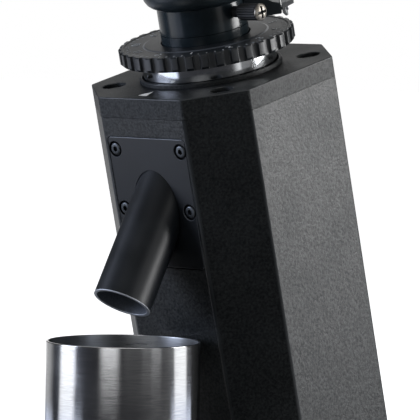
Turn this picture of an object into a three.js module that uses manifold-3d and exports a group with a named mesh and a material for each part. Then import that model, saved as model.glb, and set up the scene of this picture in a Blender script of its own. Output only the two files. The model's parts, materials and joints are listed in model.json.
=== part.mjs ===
// Electric coffee grinder with flat burrs: a forward-leaning eight-sided column on a base plate,
// a notched grind dial, a hopper, a slanted spout and a loose dosing cup.
// Millimetres, +Z up, front of the grinder towards -Y, origin on the table under the middle of the base.
import * as THREE from 'three';
import { mergeVertices } from 'three/addons/utils/BufferGeometryUtils.js';
import Module from 'manifold-3d';

const wasm = await Module();
wasm.setup();

// Clearances and facet counts
const seatGap = 0.3;
const runningGap = 0.5;
const cutOverrun = 3;
const largeRound = 36;
const mediumRound = 24;
const smallRound = 12;
const shankRound = 8;
const cornerRound = 3;
const halfTurn = Math.PI;
const fullTurn = 2 * Math.PI;
const quarterTurn = Math.PI / 2;
const radians = (degrees) => (degrees * Math.PI) / 180;

// Base plate and feet
const baseWidth = 130;
const baseLength = 226;
const baseThickness = 12;
const baseCornerRadius = 14;
const baseEdgeChamfer = 1.5;
const footRadius = 10;
const footTopRadius = 8.5;
const footHeight = 7;
const footInset = 14;
const footDimpleRadius = 4;
const footDimpleDepth = 3;
const baseTop = footHeight + baseThickness;

// Dosing cup and its mat
const cupRadius = 38.8;
const cupClearance = 11.8;
const cupWall = 1.2;
const cupCornerRadius = 5;
const cupSetBack = 1.6;
const matRadius = 41;
const matThickness = 2.2;
const matRecessDepth = 1;
const matRibWidth = 2;
const matRibDepth = 0.6;
const matRibCount = 2;

// Leaning column
const columnLean = radians(14.7);
const columnWidth = 108;
const columnDepth = 111.4;
const columnFrontCorner = 25.8;
const columnSideCorner = 22.7;
const columnWall = 6;
const columnBackMargin = 2;
const columnFrontFlat = columnWidth - 2 * columnFrontCorner;
const columnSideFlat = columnDepth - 2 * columnSideCorner;
const columnBore = Math.min(columnWidth, columnDepth) / 2 - columnWall;
const capTopHeight = 237.2;
const capThickness = 10.3;
const capEdgeChamfer = 0.6;

// Opening in the cap, its raised lip and the index mark
const capLipWidth = 1.3;
const capLipHeight = 1.5;
const indexMarkLength = 8;
const indexMarkWidth = 6.2;
const indexMarkEdgeDistance = 5.8;
const indexMarkDepth = 0.8;
const indexMarkTurn = radians(-3.2);

// Cap screws in deep counterbores, and the column's corner posts that take them
const capScrewInsetX = 17;
const capScrewInsetY = 21.7;
const capScrewSpacingX = columnWidth - 2 * capScrewInsetX;
const capScrewSpacingY = columnDepth - 2 * capScrewInsetY;
const capScrewRadius = 3;
const capScrewHeadRadius = 5;
const capScrewHeadHeight = 5;
const capCounterboreRadius = 5.9;
const capCounterboreDepth = 7.2;
const capScrewLength = 26;
const capScrewKeyWidth = 5;
const capScrewKeyDepth = 2.6;
const cornerPostRadius = 6;

// Screws that hold the column down from under the base plate
const baseScrewRadius = 2.6;
const baseScrewHeadRadius = 4.6;
const baseScrewHeadHeight = 4.6;
const baseScrewRecess = 6;
const baseScrewReach = 12;
const baseScrewKeyWidth = 4;

// Spout plate, its screws and the spout tube
const plateSideMargin = 1.85;
const plateWidth = columnFrontFlat - 2 * plateSideMargin;
const plateHeight = 68;
const plateThickness = 5;
const plateCornerRadius = 2.5;
const plateTopDrop = 20.4;
const plateEdgeChamfer = 0.5;
const plateScrewSideMargin = 4.15;
const plateScrewSpacingX = plateWidth - 2 * plateScrewSideMargin;
const plateScrewSpacingY = 31.4;
const plateScrewTopMargin = 6.6;
const plateScrewRadius = 2;
const plateScrewHeadRadius = 3.3;
const plateScrewHeadHeight = 2.6;
const plateCounterboreRadius = 4.1;
const plateCounterboreDepth = 3;
const plateScrewLength = 5;
const plateScrewKeyWidth = 3;
const plateScrewKeyDepth = 1.6;
const plateBackingThickness = 4.7;
const spoutRadius = 14.85;
const spoutWall = 1.5;
const spoutAngle = radians(44);
const spoutDrop = 38.8;
const spoutLength = 51.5;
const outletRadius = 10;
const declumperPocketDepth = 1.3;
const declumperThickness = 0.7;
const declumperMargin = 5;
const declumperSlotWidth = 1.2;
const declumperSlotCount = 5;

// Grinding chamber
const chamberClearance = 5.2;
const chamberWall = 8;
const chamberRadius = columnBore - chamberClearance;
const chamberFlangeThickness = 6;
const chamberFloorThickness = 19.5;
const chamberFloorGap = 0.8;
const bearingSeatRadius = 17.5;
const bearingHeight = 11;
const bearingBoreGap = 0.25;

// Threaded burr carrier, which shows as the bright ring under the dial
const carrierRadius = chamberRadius - chamberWall - seatGap;
const carrierSleeveWall = 3;
const carrierDiscThickness = 8;
const carrierDiscDepth = 21;
const carrierTopGap = 1;

// Flat burrs
const burrSideMargin = 2.5;
const burrFaceWidth = 14;
const burrRadius = carrierRadius - burrSideMargin;
const burrBoreRadius = burrRadius - burrFaceWidth;
const throatLedge = 1;
const throatRadius = burrBoreRadius - throatLedge;
const burrThickness = 8;
const burrToothDepth = 1.6;
const burrToothCount = 20;
const burrToothSkew = radians(22);
const burrGap = 1.3;
const burrScrewRadius = 2;
const burrScrewHeadRadius = 3.4;
const burrScrewHeadHeight = 2;
const burrScrewLength = 9;
const burrScrewCount = 2;
const burrScrewMargin = 6.5;
const burrScrewCircle = burrRadius - burrScrewMargin;

// Rotor: lower burr carrier, shaft, motor and fan
const rotorDiscMargin = 1;
const rotorDiscRadius = burrRadius - rotorDiscMargin;
const rotorDiscThickness = 8;
const sweeperWidth = 5;
const shaftRadius = 7.5;
const shaftTopRadius = 4;
const shaftTopRise = 7;
const nutRadius = 9;
const nutHeight = 9;
const motorClearance = 6;
const motorRadius = columnBore - motorClearance;
const motorWall = 3.5;
const statorHeightShare = 0.535;
const statorBackWidth = 14;
const statorBoreRadius = motorRadius - motorWall - statorBackWidth;
const windingHeightShare = 0.128;
const windingWidth = 11;
const windingSlotCount = 6;
const windingSlotWidth = 7;
const windingSlotDepth = 8;
const rotorAirGap = 0.6;
const rotorCoreRadius = statorBoreRadius - rotorAirGap;
const endCoverThickness = 4;
const endBossRadius = 21;
const endBossHeight = 13.5;
const endBearingRadius = 16;
const endBearingHeight = 10;
const fanMargin = 8;
const fanRadius = motorRadius - fanMargin;
const fanHubRadius = 12;
const fanHeight = 10;
const fanBladeCount = 7;
const fanBladeThickness = 1.6;
const fanBladePitch = radians(35);
const fanDrop = 4;
const controlRoomShare = 0.1608;

// Adjusting dial
const dialOverhang = 10.8;
const dialRadius = carrierRadius + dialOverhang;
const dialHeight = 7.8;
const dialLift = 10.2;
const dialNotchCount = 36;
const dialNotchDepth = 1.3;
const dialNotchShare = 0.5;
const dialFlankShare = 0.08;
const dialTopChamfer = 0.5;
const dialBottomChamfer = 2.8;
const dialHubDepth = 8;
const dialRingGrooveMargin = 14.3;
const dialRingGrooveRadius = dialRadius - dialRingGrooveMargin;
const dialRingGrooveWidth = 1;
const dialRingGrooveDepth = 0.5;

// Neck
const neckWall = 3;
const neckStep = 1.6;
const neckFlangeMargin = 2.5;
const neckBoreRadius = throatRadius + throatLedge;
const neckRadius = neckBoreRadius + neckWall;
const neckFootRadius = neckRadius + neckStep;
const neckFlangeRadius = carrierRadius - carrierSleeveWall - neckFlangeMargin;
const neckFlangeThickness = 3;
const neckShoulderRise = 1.3;
const neckTopHeight = 35.9;
const neckSpigotDepth = 4;

// Hopper with its collar and turning arm
const hopperCollarRadius = neckFootRadius;
const hopperCollarBottom = 22.6;
const hopperShoulder = 6.1;
const hopperFlare = 2.8;
const hopperLowRadius = hopperCollarRadius + hopperShoulder;
const hopperTopRadius = hopperLowRadius + hopperFlare;
const hopperCornerRadius = 6;
const hopperHeight = 50;
const hopperWall = 2.2;
const hopperFunnelDrop = 12;
const hopperThroatLedge = 0.5;
const hopperThroatRadius = neckBoreRadius - hopperThroatLedge;
const hopperArmAngle = radians(42);
const hopperArmLength = 17.8;
const hopperArmReach = hopperCollarRadius + hopperArmLength;
const hopperArmWidth = 13;
const hopperArmBottom = 22.4;
const hopperArmThickness = 5.4;
const tabThickness = 2.6;
const tabBottom = 19.6;
const tabBendHeight = 26.6;
const tabTop = 31.6;
const tabFlare = 4.6;
const tabScrewRadius = 1.2;
const tabScrewHeadRadius = 1.9;
const tabScrewRise = 2;
const tabScrewHeadHeight = 1.4;
const tabScrewLength = 8;

// Hopper lid
const lidThickness = 5;
const lidEdgeChamfer = 1.2;
const lidPlugDepth = 4;
const lidPlugWall = 2;
const lidKnobRadius = 9;
const lidKnobWaist = 6.5;
const lidKnobHeight = 11;

// Thumb knob that locks the hopper's collar on the neck
const knobRadius = 4.3;
const knobLength = 16.1;
const knobHeight = 31.2;
const knobRibCount = 16;
const knobRibDepth = 0.35;
const knobStandOff = 0.4;
const pinRadius = 1.5;
const pinLength = 9;
const pinTravel = 0.8;
const knobScrewRadius = 4.4;
const knobScrewThickness = 1.7;
const knobScrewCrossWidth = 1.5;
const knobScrewCrossSpan = 6.4;
const knobScrewCrossDepth = 0.9;
const knobScrewShankRadius = 1.3;
const knobScrewShankLength = 4;

// Rocker switch in the left side
const switchLength = 21;
const switchWidth = 15;
const switchFlangeThickness = 1.6;
const switchBodyDepth = 13;
const switchBodyInset = 1.2;
const switchWall = 1.3;
const switchCavityDepth = 8.5;
const switchRise = 28.58;
const switchForward = 6;
const rockerRise = 1.8;
const rockerTilt = radians(8);
const rockerEndGap = 1;
const rockerPinDepth = 1.5;
const rockerKeelDepth = 4.5;
const rockerKeelWidth = 4;
const rockerPinRadius = 1.2;

// Mains inlet in the rear
const inletRise = 16.58;
const inletWidth = 28;
const inletHeight = 20.6;
const inletFlangeWidth = 48;
const inletFlangeHeight = 23;
const inletFlangeThickness = 2;
const inletBodyDepth = 20;
const inletWall = 1.8;
const inletSocketDepth = 16;
const inletCornerCut = 4;
const inletPinWidth = 2;
const inletPinHeight = 4;
const inletPinLength = 13;
const inletPinSpacing = 14;
const inletPinOffset = 2;
const inletScrewSpacing = 40;
const inletScrewRadius = 1.6;
const inletScrewHeadRadius = 2.8;
const inletScrewHeadHeight = 1.6;
const inletScrewLength = 8;

// Air slots in the rear wall
const ventCount = 9;
const ventPitch = 6.4;
const ventWidth = 2.6;
const ventEndRadius = 1.1;
const ventLength = 40;
const ventRise = 107.58;

// Control board and capacitor on the base plate, inside the column
const boardWidth = 62;
const boardRearMargin = 23;
const boardFrontMargin = 48.17;
const boardThickness = 1.6;
const boardStandOff = 6;
const boardPostRadius = 3;
const boardPostInset = 4;
const relayWidth = 15;
const relayLength = 18;
const relayHeight = 9;
const terminalWidth = 26;
const terminalLength = 8;
const terminalHeight = 7;
const capacitorRadius = 11;
const capacitorLength = 42;
const capacitorFrontMargin = 30.17;
const cradleWidth = 9;
const cradleWall = 2.4;
const cradleRise = 9;

// Finishes
const finishes = {
  powderCoat: { color: 0x34373b, roughness: 0.55, metalness: 0.35 },
  capCoat: { color: 0x3a3e40, roughness: 0.5, metalness: 0.35 },
  blackAnodised: { color: 0x2b2f33, roughness: 0.45, metalness: 0.6 },
  blackSteel: { color: 0x1b1e21, roughness: 0.45, metalness: 0.7 },
  chrome: { color: 0xe2e4e6, roughness: 0.12, metalness: 1 },
  polishedSteel: { color: 0xc4c6c8, roughness: 0.18, metalness: 1 },
  brushedSteel: { color: 0x9c9fa2, roughness: 0.35, metalness: 1 },
  toolSteel: { color: 0x7f8387, roughness: 0.4, metalness: 1 },
  castAluminium: { color: 0xa4a7aa, roughness: 0.55, metalness: 0.9 },
  glossBlack: { color: 0x111417, roughness: 0.15, metalness: 0 },
  mattBlack: { color: 0x1f2123, roughness: 0.7, metalness: 0 },
  rubber: { color: 0x161718, roughness: 0.9, metalness: 0 },
  white: { color: 0xe8e8e4, roughness: 0.6, metalness: 0 },
  copper: { color: 0xb0683c, roughness: 0.4, metalness: 0.8 },
  laminations: { color: 0x6d7073, roughness: 0.5, metalness: 0.9 },
  boardGreen: { color: 0x1f5a3a, roughness: 0.6, metalness: 0 },
};

// Solids: closed geometry goes in, is joined or cut, and comes out again as geometry
function signedVolume(positions, index) {
  let sum = 0;
  const a = new THREE.Vector3();
  const b = new THREE.Vector3();
  const c = new THREE.Vector3();
  for (let i = 0; i < index.length; i += 3) {
    a.fromArray(positions, 3 * index[i]);
    b.fromArray(positions, 3 * index[i + 1]);
    c.fromArray(positions, 3 * index[i + 2]);
    sum += a.dot(b.cross(c));
  }
  return sum;
}

function solidOf(shape) {
  if (!shape.isBufferGeometry) return shape;
  const bare = shape.clone();
  bare.deleteAttribute('normal');
  bare.deleteAttribute('uv');
  const merged = mergeVertices(bare);
  const vertProperties = new Float32Array(merged.attributes.position.array);
  const triVerts = new Uint32Array(merged.index.array);
  if (signedVolume(vertProperties, triVerts) < 0) {
    for (let i = 0; i < triVerts.length; i += 3) {
      [triVerts[i], triVerts[i + 1]] = [triVerts[i + 1], triVerts[i]];
    }
  }
  return new wasm.Manifold(new wasm.Mesh({ numProp: 3, vertProperties, triVerts }));
}

function geometryOf(solid) {
  const mesh = solid.getMesh();
  const geometry = new THREE.BufferGeometry();
  geometry.setAttribute('position', new THREE.BufferAttribute(new Float32Array(mesh.vertProperties), 3));
  geometry.setIndex(new THREE.BufferAttribute(new Uint32Array(mesh.triVerts), 1));
  geometry.computeVertexNormals();
  return geometry;
}

const joined = (...shapes) => shapes.map(solidOf).reduce((whole, part) => whole.add(part));
const cut = (body, ...tools) => tools.map(solidOf).reduce((rest, tool) => rest.subtract(tool), solidOf(body));
const common = (first, second) => solidOf(first).intersect(solidOf(second));

// Form helpers: everything is drawn along Z and then put in place
function turned(profile, segments = largeRound) {
  const points = profile.map(([radius, height]) => new THREE.Vector2(radius, height));
  if (profile[0][0] > 0 || profile[profile.length - 1][0] > 0) points.push(points[0].clone());
  return new THREE.LatheGeometry(points, segments).rotateX(quarterTurn);
}

function rod(radius, bottom, top, segments = smallRound) {
  const length = top - bottom;
  const geometry = new THREE.CylinderGeometry(radius, radius, length, segments);
  return geometry.rotateX(quarterTurn).translate(0, 0, bottom + length / 2);
}

function block(width, depth, height, x = 0, y = 0, z = 0) {
  return new THREE.BoxGeometry(width, depth, height).translate(x, y, z + height / 2);
}

function outline(points) {
  return new THREE.Shape(points.map(([x, y]) => new THREE.Vector2(x, y)));
}

function extruded(shape, bottom, top, curveSegments = cornerRound) {
  const depth = top - bottom;
  const settings = { depth, bevelEnabled: false, curveSegments };
  return new THREE.ExtrudeGeometry(shape, settings).translate(0, 0, bottom);
}

// The same, with its upper edge chamfered inwards
function extrudedWithTopChamfer(shapeAt, bottom, top, chamfer) {
  const straight = extruded(shapeAt(0), bottom, top - chamfer);
  const edge = new THREE.ExtrudeGeometry(shapeAt(chamfer), {
    depth: chamfer,
    bevelEnabled: true,
    bevelThickness: chamfer,
    bevelSize: chamfer,
    bevelSegments: 1,
    curveSegments: cornerRound,
  }).translate(0, 0, top - 2 * chamfer);
  return common(joined(straight, edge), block(2 * baseLength, 2 * baseLength, top - bottom, 0, 0, bottom));
}

function roundedRectangle(width, depth, radius) {
  const x = width / 2;
  const y = depth / 2;
  const shape = new THREE.Shape();
  shape.moveTo(x, radius - y);
  shape.lineTo(x, y - radius);
  shape.absarc(x - radius, y - radius, radius, 0, quarterTurn);
  shape.lineTo(radius - x, y);
  shape.absarc(radius - x, y - radius, radius, quarterTurn, halfTurn);
  shape.lineTo(-x, radius - y);
  shape.absarc(radius - x, radius - y, radius, halfTurn, halfTurn + quarterTurn);
  shape.lineTo(x - radius, -y);
  shape.absarc(x - radius, radius - y, radius, -quarterTurn, 0);
  return shape;
}

function hexagonalKey(width, bottom, top) {
  return rod(width / Math.sqrt(3), bottom, top, 6);
}

// Socket-head screw standing head up, with the underside of its head at zero
function socketScrew(radius, headRadius, headHeight, length, keyWidth, keyDepth) {
  const head = rod(headRadius, 0, headHeight, smallRound);
  const shank = rod(radius, -length, seatGap, shankRound);
  return cut(joined(head, shank), hexagonalKey(keyWidth, headHeight - keyDepth, headHeight + cutOverrun));
}

const around = (count, step) => Array.from({ length: count }, (unused, i) => step(i));
const corners = [[-1, -1], [1, -1], [1, 1], [-1, 1]];

// The scene graph: the whole, and the leaning tower with its origin at the middle of the cap's top
const grinder = new THREE.Group();
const tower = new THREE.Group();
tower.rotation.x = columnLean;
const columnFootDepth = columnDepth / Math.cos(columnLean);
const columnLength = (capTopHeight - baseTop) / Math.cos(columnLean);
const columnBackY = baseLength / 2 - columnBackMargin;
const capCentreY = columnBackY - columnLength * Math.sin(columnLean) - columnFootDepth / 2;
tower.position.set(0, capCentreY, capTopHeight);
grinder.add(tower);

function addPiece(group, name, shape, finish) {
  const geometry = shape.isBufferGeometry ? geometryOf(solidOf(shape)) : geometryOf(shape);
  const mesh = new THREE.Mesh(geometry, new THREE.MeshStandardMaterial(finish));
  mesh.name = name;
  group.add(mesh);
  return mesh;
}

// Puts a shape drawn upright on the table into the tower's own coordinates
function inTower(geometry) {
  return geometry.translate(0, -capCentreY, -capTopHeight).rotateX(-columnLean);
}

// Where the tower's own line at (y, z) lies in the upright frame
const uprightY = (y, z) => capCentreY + y * Math.cos(columnLean) - z * Math.sin(columnLean);
const uprightZ = (y, z) => capTopHeight + y * Math.sin(columnLean) + z * Math.cos(columnLean);
const towerZAtHeight = (y, height) =>
  (height - capTopHeight - y * Math.sin(columnLean)) / Math.cos(columnLean);

// Eight-sided outline of the column, moved inwards by inset
function columnOutline(inset) {
  const halfWidth = columnWidth / 2;
  const halfDepth = columnDepth / 2;
  const run = halfWidth - columnFrontFlat / 2;
  const rise = halfDepth - columnSideFlat / 2;
  const length = Math.hypot(run, rise);
  const normalX = rise / length;
  const normalY = run / length;
  const reach = normalX * halfWidth + (normalY * columnSideFlat) / 2 - inset;
  const x = halfWidth - inset;
  const y = halfDepth - inset;
  const sideY = (reach - normalX * x) / normalY;
  const frontX = (reach - normalY * y) / normalX;
  const quarter = [[frontX, -y], [x, -sideY], [x, sideY], [frontX, y]];
  return outline([...quarter, ...quarter.map(([px, py]) => [-px, -py])]);
}

// Levels down the tower, from the cap's top at zero
const capBottom = -capThickness;
const chamberTop = capBottom - seatGap;
const chamberLedge = chamberTop - chamberFlangeThickness;
const postTop = chamberLedge - seatGap;
const carrierDiscTop = -carrierDiscDepth;
const carrierBottom = carrierDiscTop - carrierDiscThickness;
const carrierTop = dialLift - carrierTopGap;
const upperBurrTop = carrierBottom - seatGap;
const upperBurrBottom = upperBurrTop - burrThickness;
const lowerBurrTop = upperBurrBottom - burrGap;
const lowerBurrBottom = lowerBurrTop - burrThickness;
const rotorDiscTop = lowerBurrBottom - seatGap;
const rotorDiscBottom = rotorDiscTop - rotorDiscThickness;
const chamberFloor = rotorDiscBottom - chamberFloorGap;
const chamberBottom = chamberFloor - chamberFloorThickness;
const bearingTop = chamberBottom + bearingHeight + seatGap + seatGap;
const motorTop = chamberBottom - seatGap;
const fanBottom = (controlRoomShare - 1) * columnLength;
const fanTop = fanBottom + fanHeight;
const endBossBottom = fanTop + fanDrop;
const endCoverTop = endBossBottom + endBossHeight;
const endCoverBottom = endCoverTop - endCoverThickness;
const motorBottom = endCoverTop + seatGap;
const motorLength = motorTop - motorBottom;
const windingHeight = windingHeightShare * motorLength;
const statorTop = motorTop - motorWall - windingHeight - runningGap - seatGap;
const statorBottom = statorTop - statorHeightShare * motorLength;
const towerFoot = towerZAtHeight(columnDepth / 2, 0);
const switchDrop = columnLength - switchRise;
const inletDrop = columnLength - inletRise;
const ventTopDrop = columnLength - ventRise;

// Radii that follow from a neighbour
const chamberBore = carrierRadius + seatGap;
const capOpeningRadius = chamberBore + 2 * seatGap;
const capLipRadius = capOpeningRadius + capLipWidth;
const carrierSleeveBore = carrierRadius - carrierSleeveWall;
const dialHubRadius = carrierSleeveBore - seatGap;
const dialBoreRadius = neckFootRadius + runningGap;
const hopperCollarBore = neckRadius + seatGap;
const dialBottom = dialLift;
const dialTop = dialLift + dialHeight;

// Base plate: rounded slab with the mat's recess, board posts, the capacitor's cradle and screw holes
const plateTop = -plateTopDrop;
const plateBottom = plateTop - plateHeight;
const columnFront = -columnDepth / 2;
const spoutEntry = plateTop - spoutDrop;
const spoutMouthY = columnFront - spoutLength * Math.sin(spoutAngle);
const spoutMouthZ = spoutEntry - spoutLength * Math.cos(spoutAngle);
const cupCentreY = uprightY(spoutMouthY, spoutMouthZ) + cupSetBack;
const boardLength = columnFootDepth - boardRearMargin - boardFrontMargin;
const boardCentreY = columnBackY - boardRearMargin - boardLength / 2;
const capacitorCentreY = columnBackY - columnFootDepth + capacitorFrontMargin;
const spoutTilt = spoutAngle - columnLean;
const spoutLipHeight = uprightZ(spoutMouthY, spoutMouthZ) - spoutRadius * Math.sin(spoutTilt);
const matBottom = baseTop - matRecessDepth;
const matTop = matBottom + matThickness;
const boardBottom = baseTop + boardStandOff;
const boardTop = boardBottom + boardThickness;

const baseScrewPlaces = corners.map(([sideX, sideY]) => {
  const y = (sideY * capScrewSpacingY) / 2;
  const halfWay = baseTop + baseScrewReach / 2;
  return [(sideX * capScrewSpacingX) / 2, uprightY(y, towerZAtHeight(y, halfWay))];
});
const boardPostPlaces = corners.map(([sideX, sideY]) => [
  sideX * (boardWidth / 2 - boardPostInset),
  boardCentreY + sideY * (boardLength / 2 - boardPostInset),
]);
const footPlaces = corners.map(([sideX, sideY]) => [
  sideX * (baseWidth / 2 - footInset),
  sideY * (baseLength / 2 - footInset),
]);

function makeBasePlate() {
  const slabAt = (inset) => roundedRectangle(
    baseWidth - 2 * inset,
    baseLength - 2 * inset,
    baseCornerRadius - inset,
  );
  const slab = extrudedWithTopChamfer(slabAt, footHeight, baseTop, baseEdgeChamfer);
  const posts = boardPostPlaces.map(([x, y]) =>
    rod(boardPostRadius, baseTop - seatGap, boardBottom, shankRound).translate(x, y, 0));
  const saddleBase = baseTop - seatGap;
  const saddleRadius = capacitorRadius + seatGap;
  const saddleCentre = baseTop + cradleWall + saddleRadius;
  const saddleDepth = 2 * (saddleRadius + cradleWall);
  const saddle = cut(
    block(cradleWidth, saddleDepth, cradleRise + cradleWall, 0, capacitorCentreY, saddleBase),
    rod(saddleRadius, -capacitorLength, capacitorLength, mediumRound)
      .rotateY(quarterTurn)
      .translate(0, capacitorCentreY, saddleCentre),
  );
  const recess = rod(matRadius + seatGap, matBottom, baseTop + cutOverrun, largeRound)
    .translate(0, cupCentreY, 0);
  const shankHoles = baseScrewPlaces.map(([x, y]) =>
    rod(baseScrewRadius + seatGap, 0, baseTop + cutOverrun).translate(x, y, 0));
  const headHoles = baseScrewPlaces.map(([x, y]) =>
    rod(baseScrewHeadRadius + seatGap, 0, footHeight + baseScrewRecess).translate(x, y, 0));
  return cut(joined(slab, ...posts, saddle), recess, ...shankHoles, ...headHoles);
}
addPiece(grinder, 'base_plate', makeBasePlate(), finishes.powderCoat);

// Rubber feet, cupped underneath
footPlaces.forEach(([x, y], i) => {
  const foot = turned([
    [0, footDimpleDepth],
    [footDimpleRadius, footDimpleDepth],
    [footDimpleRadius, 0],
    [footRadius, 0],
    [footRadius, footHeight / 2],
    [footTopRadius, footHeight],
    [0, footHeight],
  ], mediumRound);
  addPiece(grinder, `rubber_foot_${i + 1}`, foot.translate(x, y, 0), finishes.rubber);
});

// Screws from below into the column's corner posts
baseScrewPlaces.forEach(([x, y], i) => {
  const length = baseTop - footHeight - baseScrewRecess + baseScrewReach - 2 * seatGap;
  const screw = geometryOf(socketScrew(
    baseScrewRadius,
    baseScrewHeadRadius,
    baseScrewHeadHeight,
    length,
    baseScrewKeyWidth,
    baseScrewHeadHeight / 2,
  ));
  screw.rotateX(halfTurn).translate(x, y, footHeight + baseScrewRecess - seatGap);
  addPiece(grinder, `base_screw_${i + 1}`, screw, finishes.blackSteel);
});

// Rubber mat with round grooves
function makeCupMat() {
  const grooveFloor = matTop - matRibDepth;
  const step = matRadius / (matRibCount + 1);
  const profile = [[0, matBottom], [matRadius, matBottom], [matRadius, matTop]];
  for (let i = matRibCount; i > 0; i -= 1) {
    const outer = i * step + matRibWidth / 2;
    const inner = i * step - matRibWidth / 2;
    profile.push([outer, matTop], [outer, grooveFloor], [inner, grooveFloor], [inner, matTop]);
  }
  profile.push([0, matTop]);
  return turned(profile).translate(0, cupCentreY, 0);
}
addPiece(grinder, 'cup_mat', makeCupMat(), finishes.rubber);

// Dosing cup: thin wall, rounded foot
function makeDosingCup() {
  const bottom = matTop + seatGap;
  const top = spoutLipHeight - cupClearance;
  const arcSteps = 3;
  const arc = (radius, centreHeight) => around(arcSteps + 1, (i) => {
    const angle = (i / arcSteps) * quarterTurn;
    const centre = cupRadius - cupCornerRadius;
    return [centre + radius * Math.sin(angle), centreHeight - radius * Math.cos(angle)];
  });
  const centreHeight = bottom + cupCornerRadius;
  const outer = arc(cupCornerRadius, centreHeight);
  const inner = arc(cupCornerRadius - cupWall, centreHeight).reverse();
  const profile = [
    [0, bottom],
    ...outer,
    [cupRadius, top],
    [cupRadius - cupWall, top],
    ...inner,
    [0, bottom + cupWall],
  ];
  return turned(profile).translate(0, cupCentreY, 0);
}
addPiece(grinder, 'dosing_cup', makeDosingCup(), finishes.polishedSteel);

// Column: eight-sided shell with corner posts, the spout plate's recess, air slots and cut-outs
const plateCentreZ = (plateTop + plateBottom) / 2;
const capScrewPlaces = corners.map(([sideX, sideY]) => [
  (sideX * capScrewSpacingX) / 2,
  (sideY * capScrewSpacingY) / 2,
]);
const plateScrewTop = plateTop - plateScrewTopMargin;
const plateScrewPlaces = [
  [-plateScrewSpacingX / 2, plateScrewTop],
  [plateScrewSpacingX / 2, plateScrewTop],
  [-plateScrewSpacingX / 2, plateScrewTop - plateScrewSpacingY],
  [plateScrewSpacingX / 2, plateScrewTop - plateScrewSpacingY],
];
const recessFloor = columnFront + plateThickness + seatGap;
const backingBack = columnFront + plateThickness + 2 * seatGap + plateBackingThickness;
const declumperWidth = 2 * outletRadius + 2 * declumperMargin;
const declumperTop = spoutEntry + outletRadius / Math.sin(spoutAngle) + declumperMargin;
const declumperHeight = (2 * outletRadius) / Math.sin(spoutAngle) + 2 * declumperMargin;

// Puts a shape drawn in the XY plane, with its height along Z, on the column's front, facing forward
const onFront = (geometry, depthY) => geometry.rotateX(quarterTurn).translate(0, depthY, 0);

// A round tool along the spout's axis, from behind the plate to beyond the mouth
function alongSpout(radius, behind, ahead, segments = mediumRound) {
  return rod(radius, -ahead, behind, segments)
    .rotateX(-spoutAngle)
    .translate(0, columnFront, spoutEntry);
}

function makeColumn() {
  const shell = cut(
    extruded(columnOutline(0), towerFoot, chamberTop),
    extruded(columnOutline(columnWall), towerFoot - cutOverrun, chamberTop + cutOverrun),
  );
  const posts = capScrewPlaces.map(([x, y]) => rod(cornerPostRadius, towerFoot, postTop).translate(x, y, 0));
  const backingDepth = backingBack - columnFront;
  const backing = block(plateWidth, backingDepth - cutOverrun, plateHeight, 0, 0, plateBottom)
    .translate(0, columnFront + cutOverrun + (backingDepth - cutOverrun) / 2, 0);
  const recess = onFront(extruded(
    roundedRectangle(plateWidth + 2 * seatGap, plateHeight + 2 * seatGap, plateCornerRadius + seatGap),
    -cutOverrun,
    plateThickness + seatGap,
  ).rotateX(halfTurn), columnFront).translate(0, 0, plateCentreZ);
  const pocket = block(
    declumperWidth + 2 * seatGap,
    declumperPocketDepth + cutOverrun,
    declumperHeight + 2 * seatGap,
    0,
    recessFloor + (declumperPocketDepth - cutOverrun) / 2,
    declumperTop - declumperHeight - seatGap,
  );
  const plateHoles = plateScrewPlaces.map(([x, z]) =>
    rod(plateScrewRadius + seatGap, 0, plateThickness + plateScrewLength, shankRound)
      .rotateX(-quarterTurn)
      .translate(x, columnFront, z));
  const postHoles = capScrewPlaces.map(([x, y]) =>
    rod(capScrewRadius + seatGap, postTop - capScrewLength, postTop + cutOverrun).translate(x, y, 0));
  const footHoles = baseScrewPlaces.map(([x, y]) =>
    inTower(rod(baseScrewRadius + seatGap, 0, baseTop + baseScrewReach + runningGap).translate(x, y, 0)));
  const vents = around(ventCount, (i) => {
    const slotOutline = roundedRectangle(ventLength, ventWidth, ventEndRadius);
    return extruded(slotOutline, -cutOverrun, columnWall + cutOverrun)
      .rotateX(quarterTurn)
      .translate(0, columnDepth / 2, -ventTopDrop - i * ventPitch);
  });
  const inletHole = block(
    inletWidth + 2 * seatGap,
    columnWall + 2 * cutOverrun,
    inletHeight + 2 * seatGap,
    0,
    columnDepth / 2,
    -inletDrop - inletHeight / 2 - seatGap,
  );
  const inletScrewHoles = [-1, 1].map((side) =>
    rod(inletScrewRadius + seatGap, -columnWall - cutOverrun, cutOverrun, shankRound)
      .rotateX(-quarterTurn)
      .translate((side * inletScrewSpacing) / 2, columnDepth / 2, -inletDrop));
  const switchHole = block(
    columnWall + 2 * cutOverrun,
    switchWidth - 2 * switchBodyInset + 2 * seatGap,
    switchLength - 2 * switchBodyInset + 2 * seatGap,
    -columnWidth / 2,
    -switchForward,
    -switchDrop - switchLength / 2 + switchBodyInset - seatGap,
  );
  const outlet = alongSpout(outletRadius, columnDepth / 2, spoutLength, mediumRound);
  const underside = baseTop + seatGap - capTopHeight;
  const belowBase = inTower(block(2 * baseLength, 2 * baseLength, capTopHeight, 0, 0, underside));
  return cut(
    joined(shell, ...posts, backing),
    recess,
    pocket,
    ...plateHoles,
    ...postHoles,
    ...footHoles,
    ...vents,
    inletHole,
    ...inletScrewHoles,
    switchHole,
    common(outlet, block(plateWidth, columnDepth / 2, plateHeight, 0, columnFront / 2, plateBottom)),
    belowBase,
  );
}
addPiece(tower, 'column_body', makeColumn(), finishes.powderCoat);

// Cap: chamfered plate with the lip round its opening, deep counterbores and the index mark's recess
function indexMarkOutline(growth) {
  const back = columnFront + indexMarkEdgeDistance;
  const half = indexMarkWidth / 2 + growth;
  return outline([[-half, back - growth], [half, back - growth], [0, back + indexMarkLength + 2 * growth]]);
}

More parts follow.
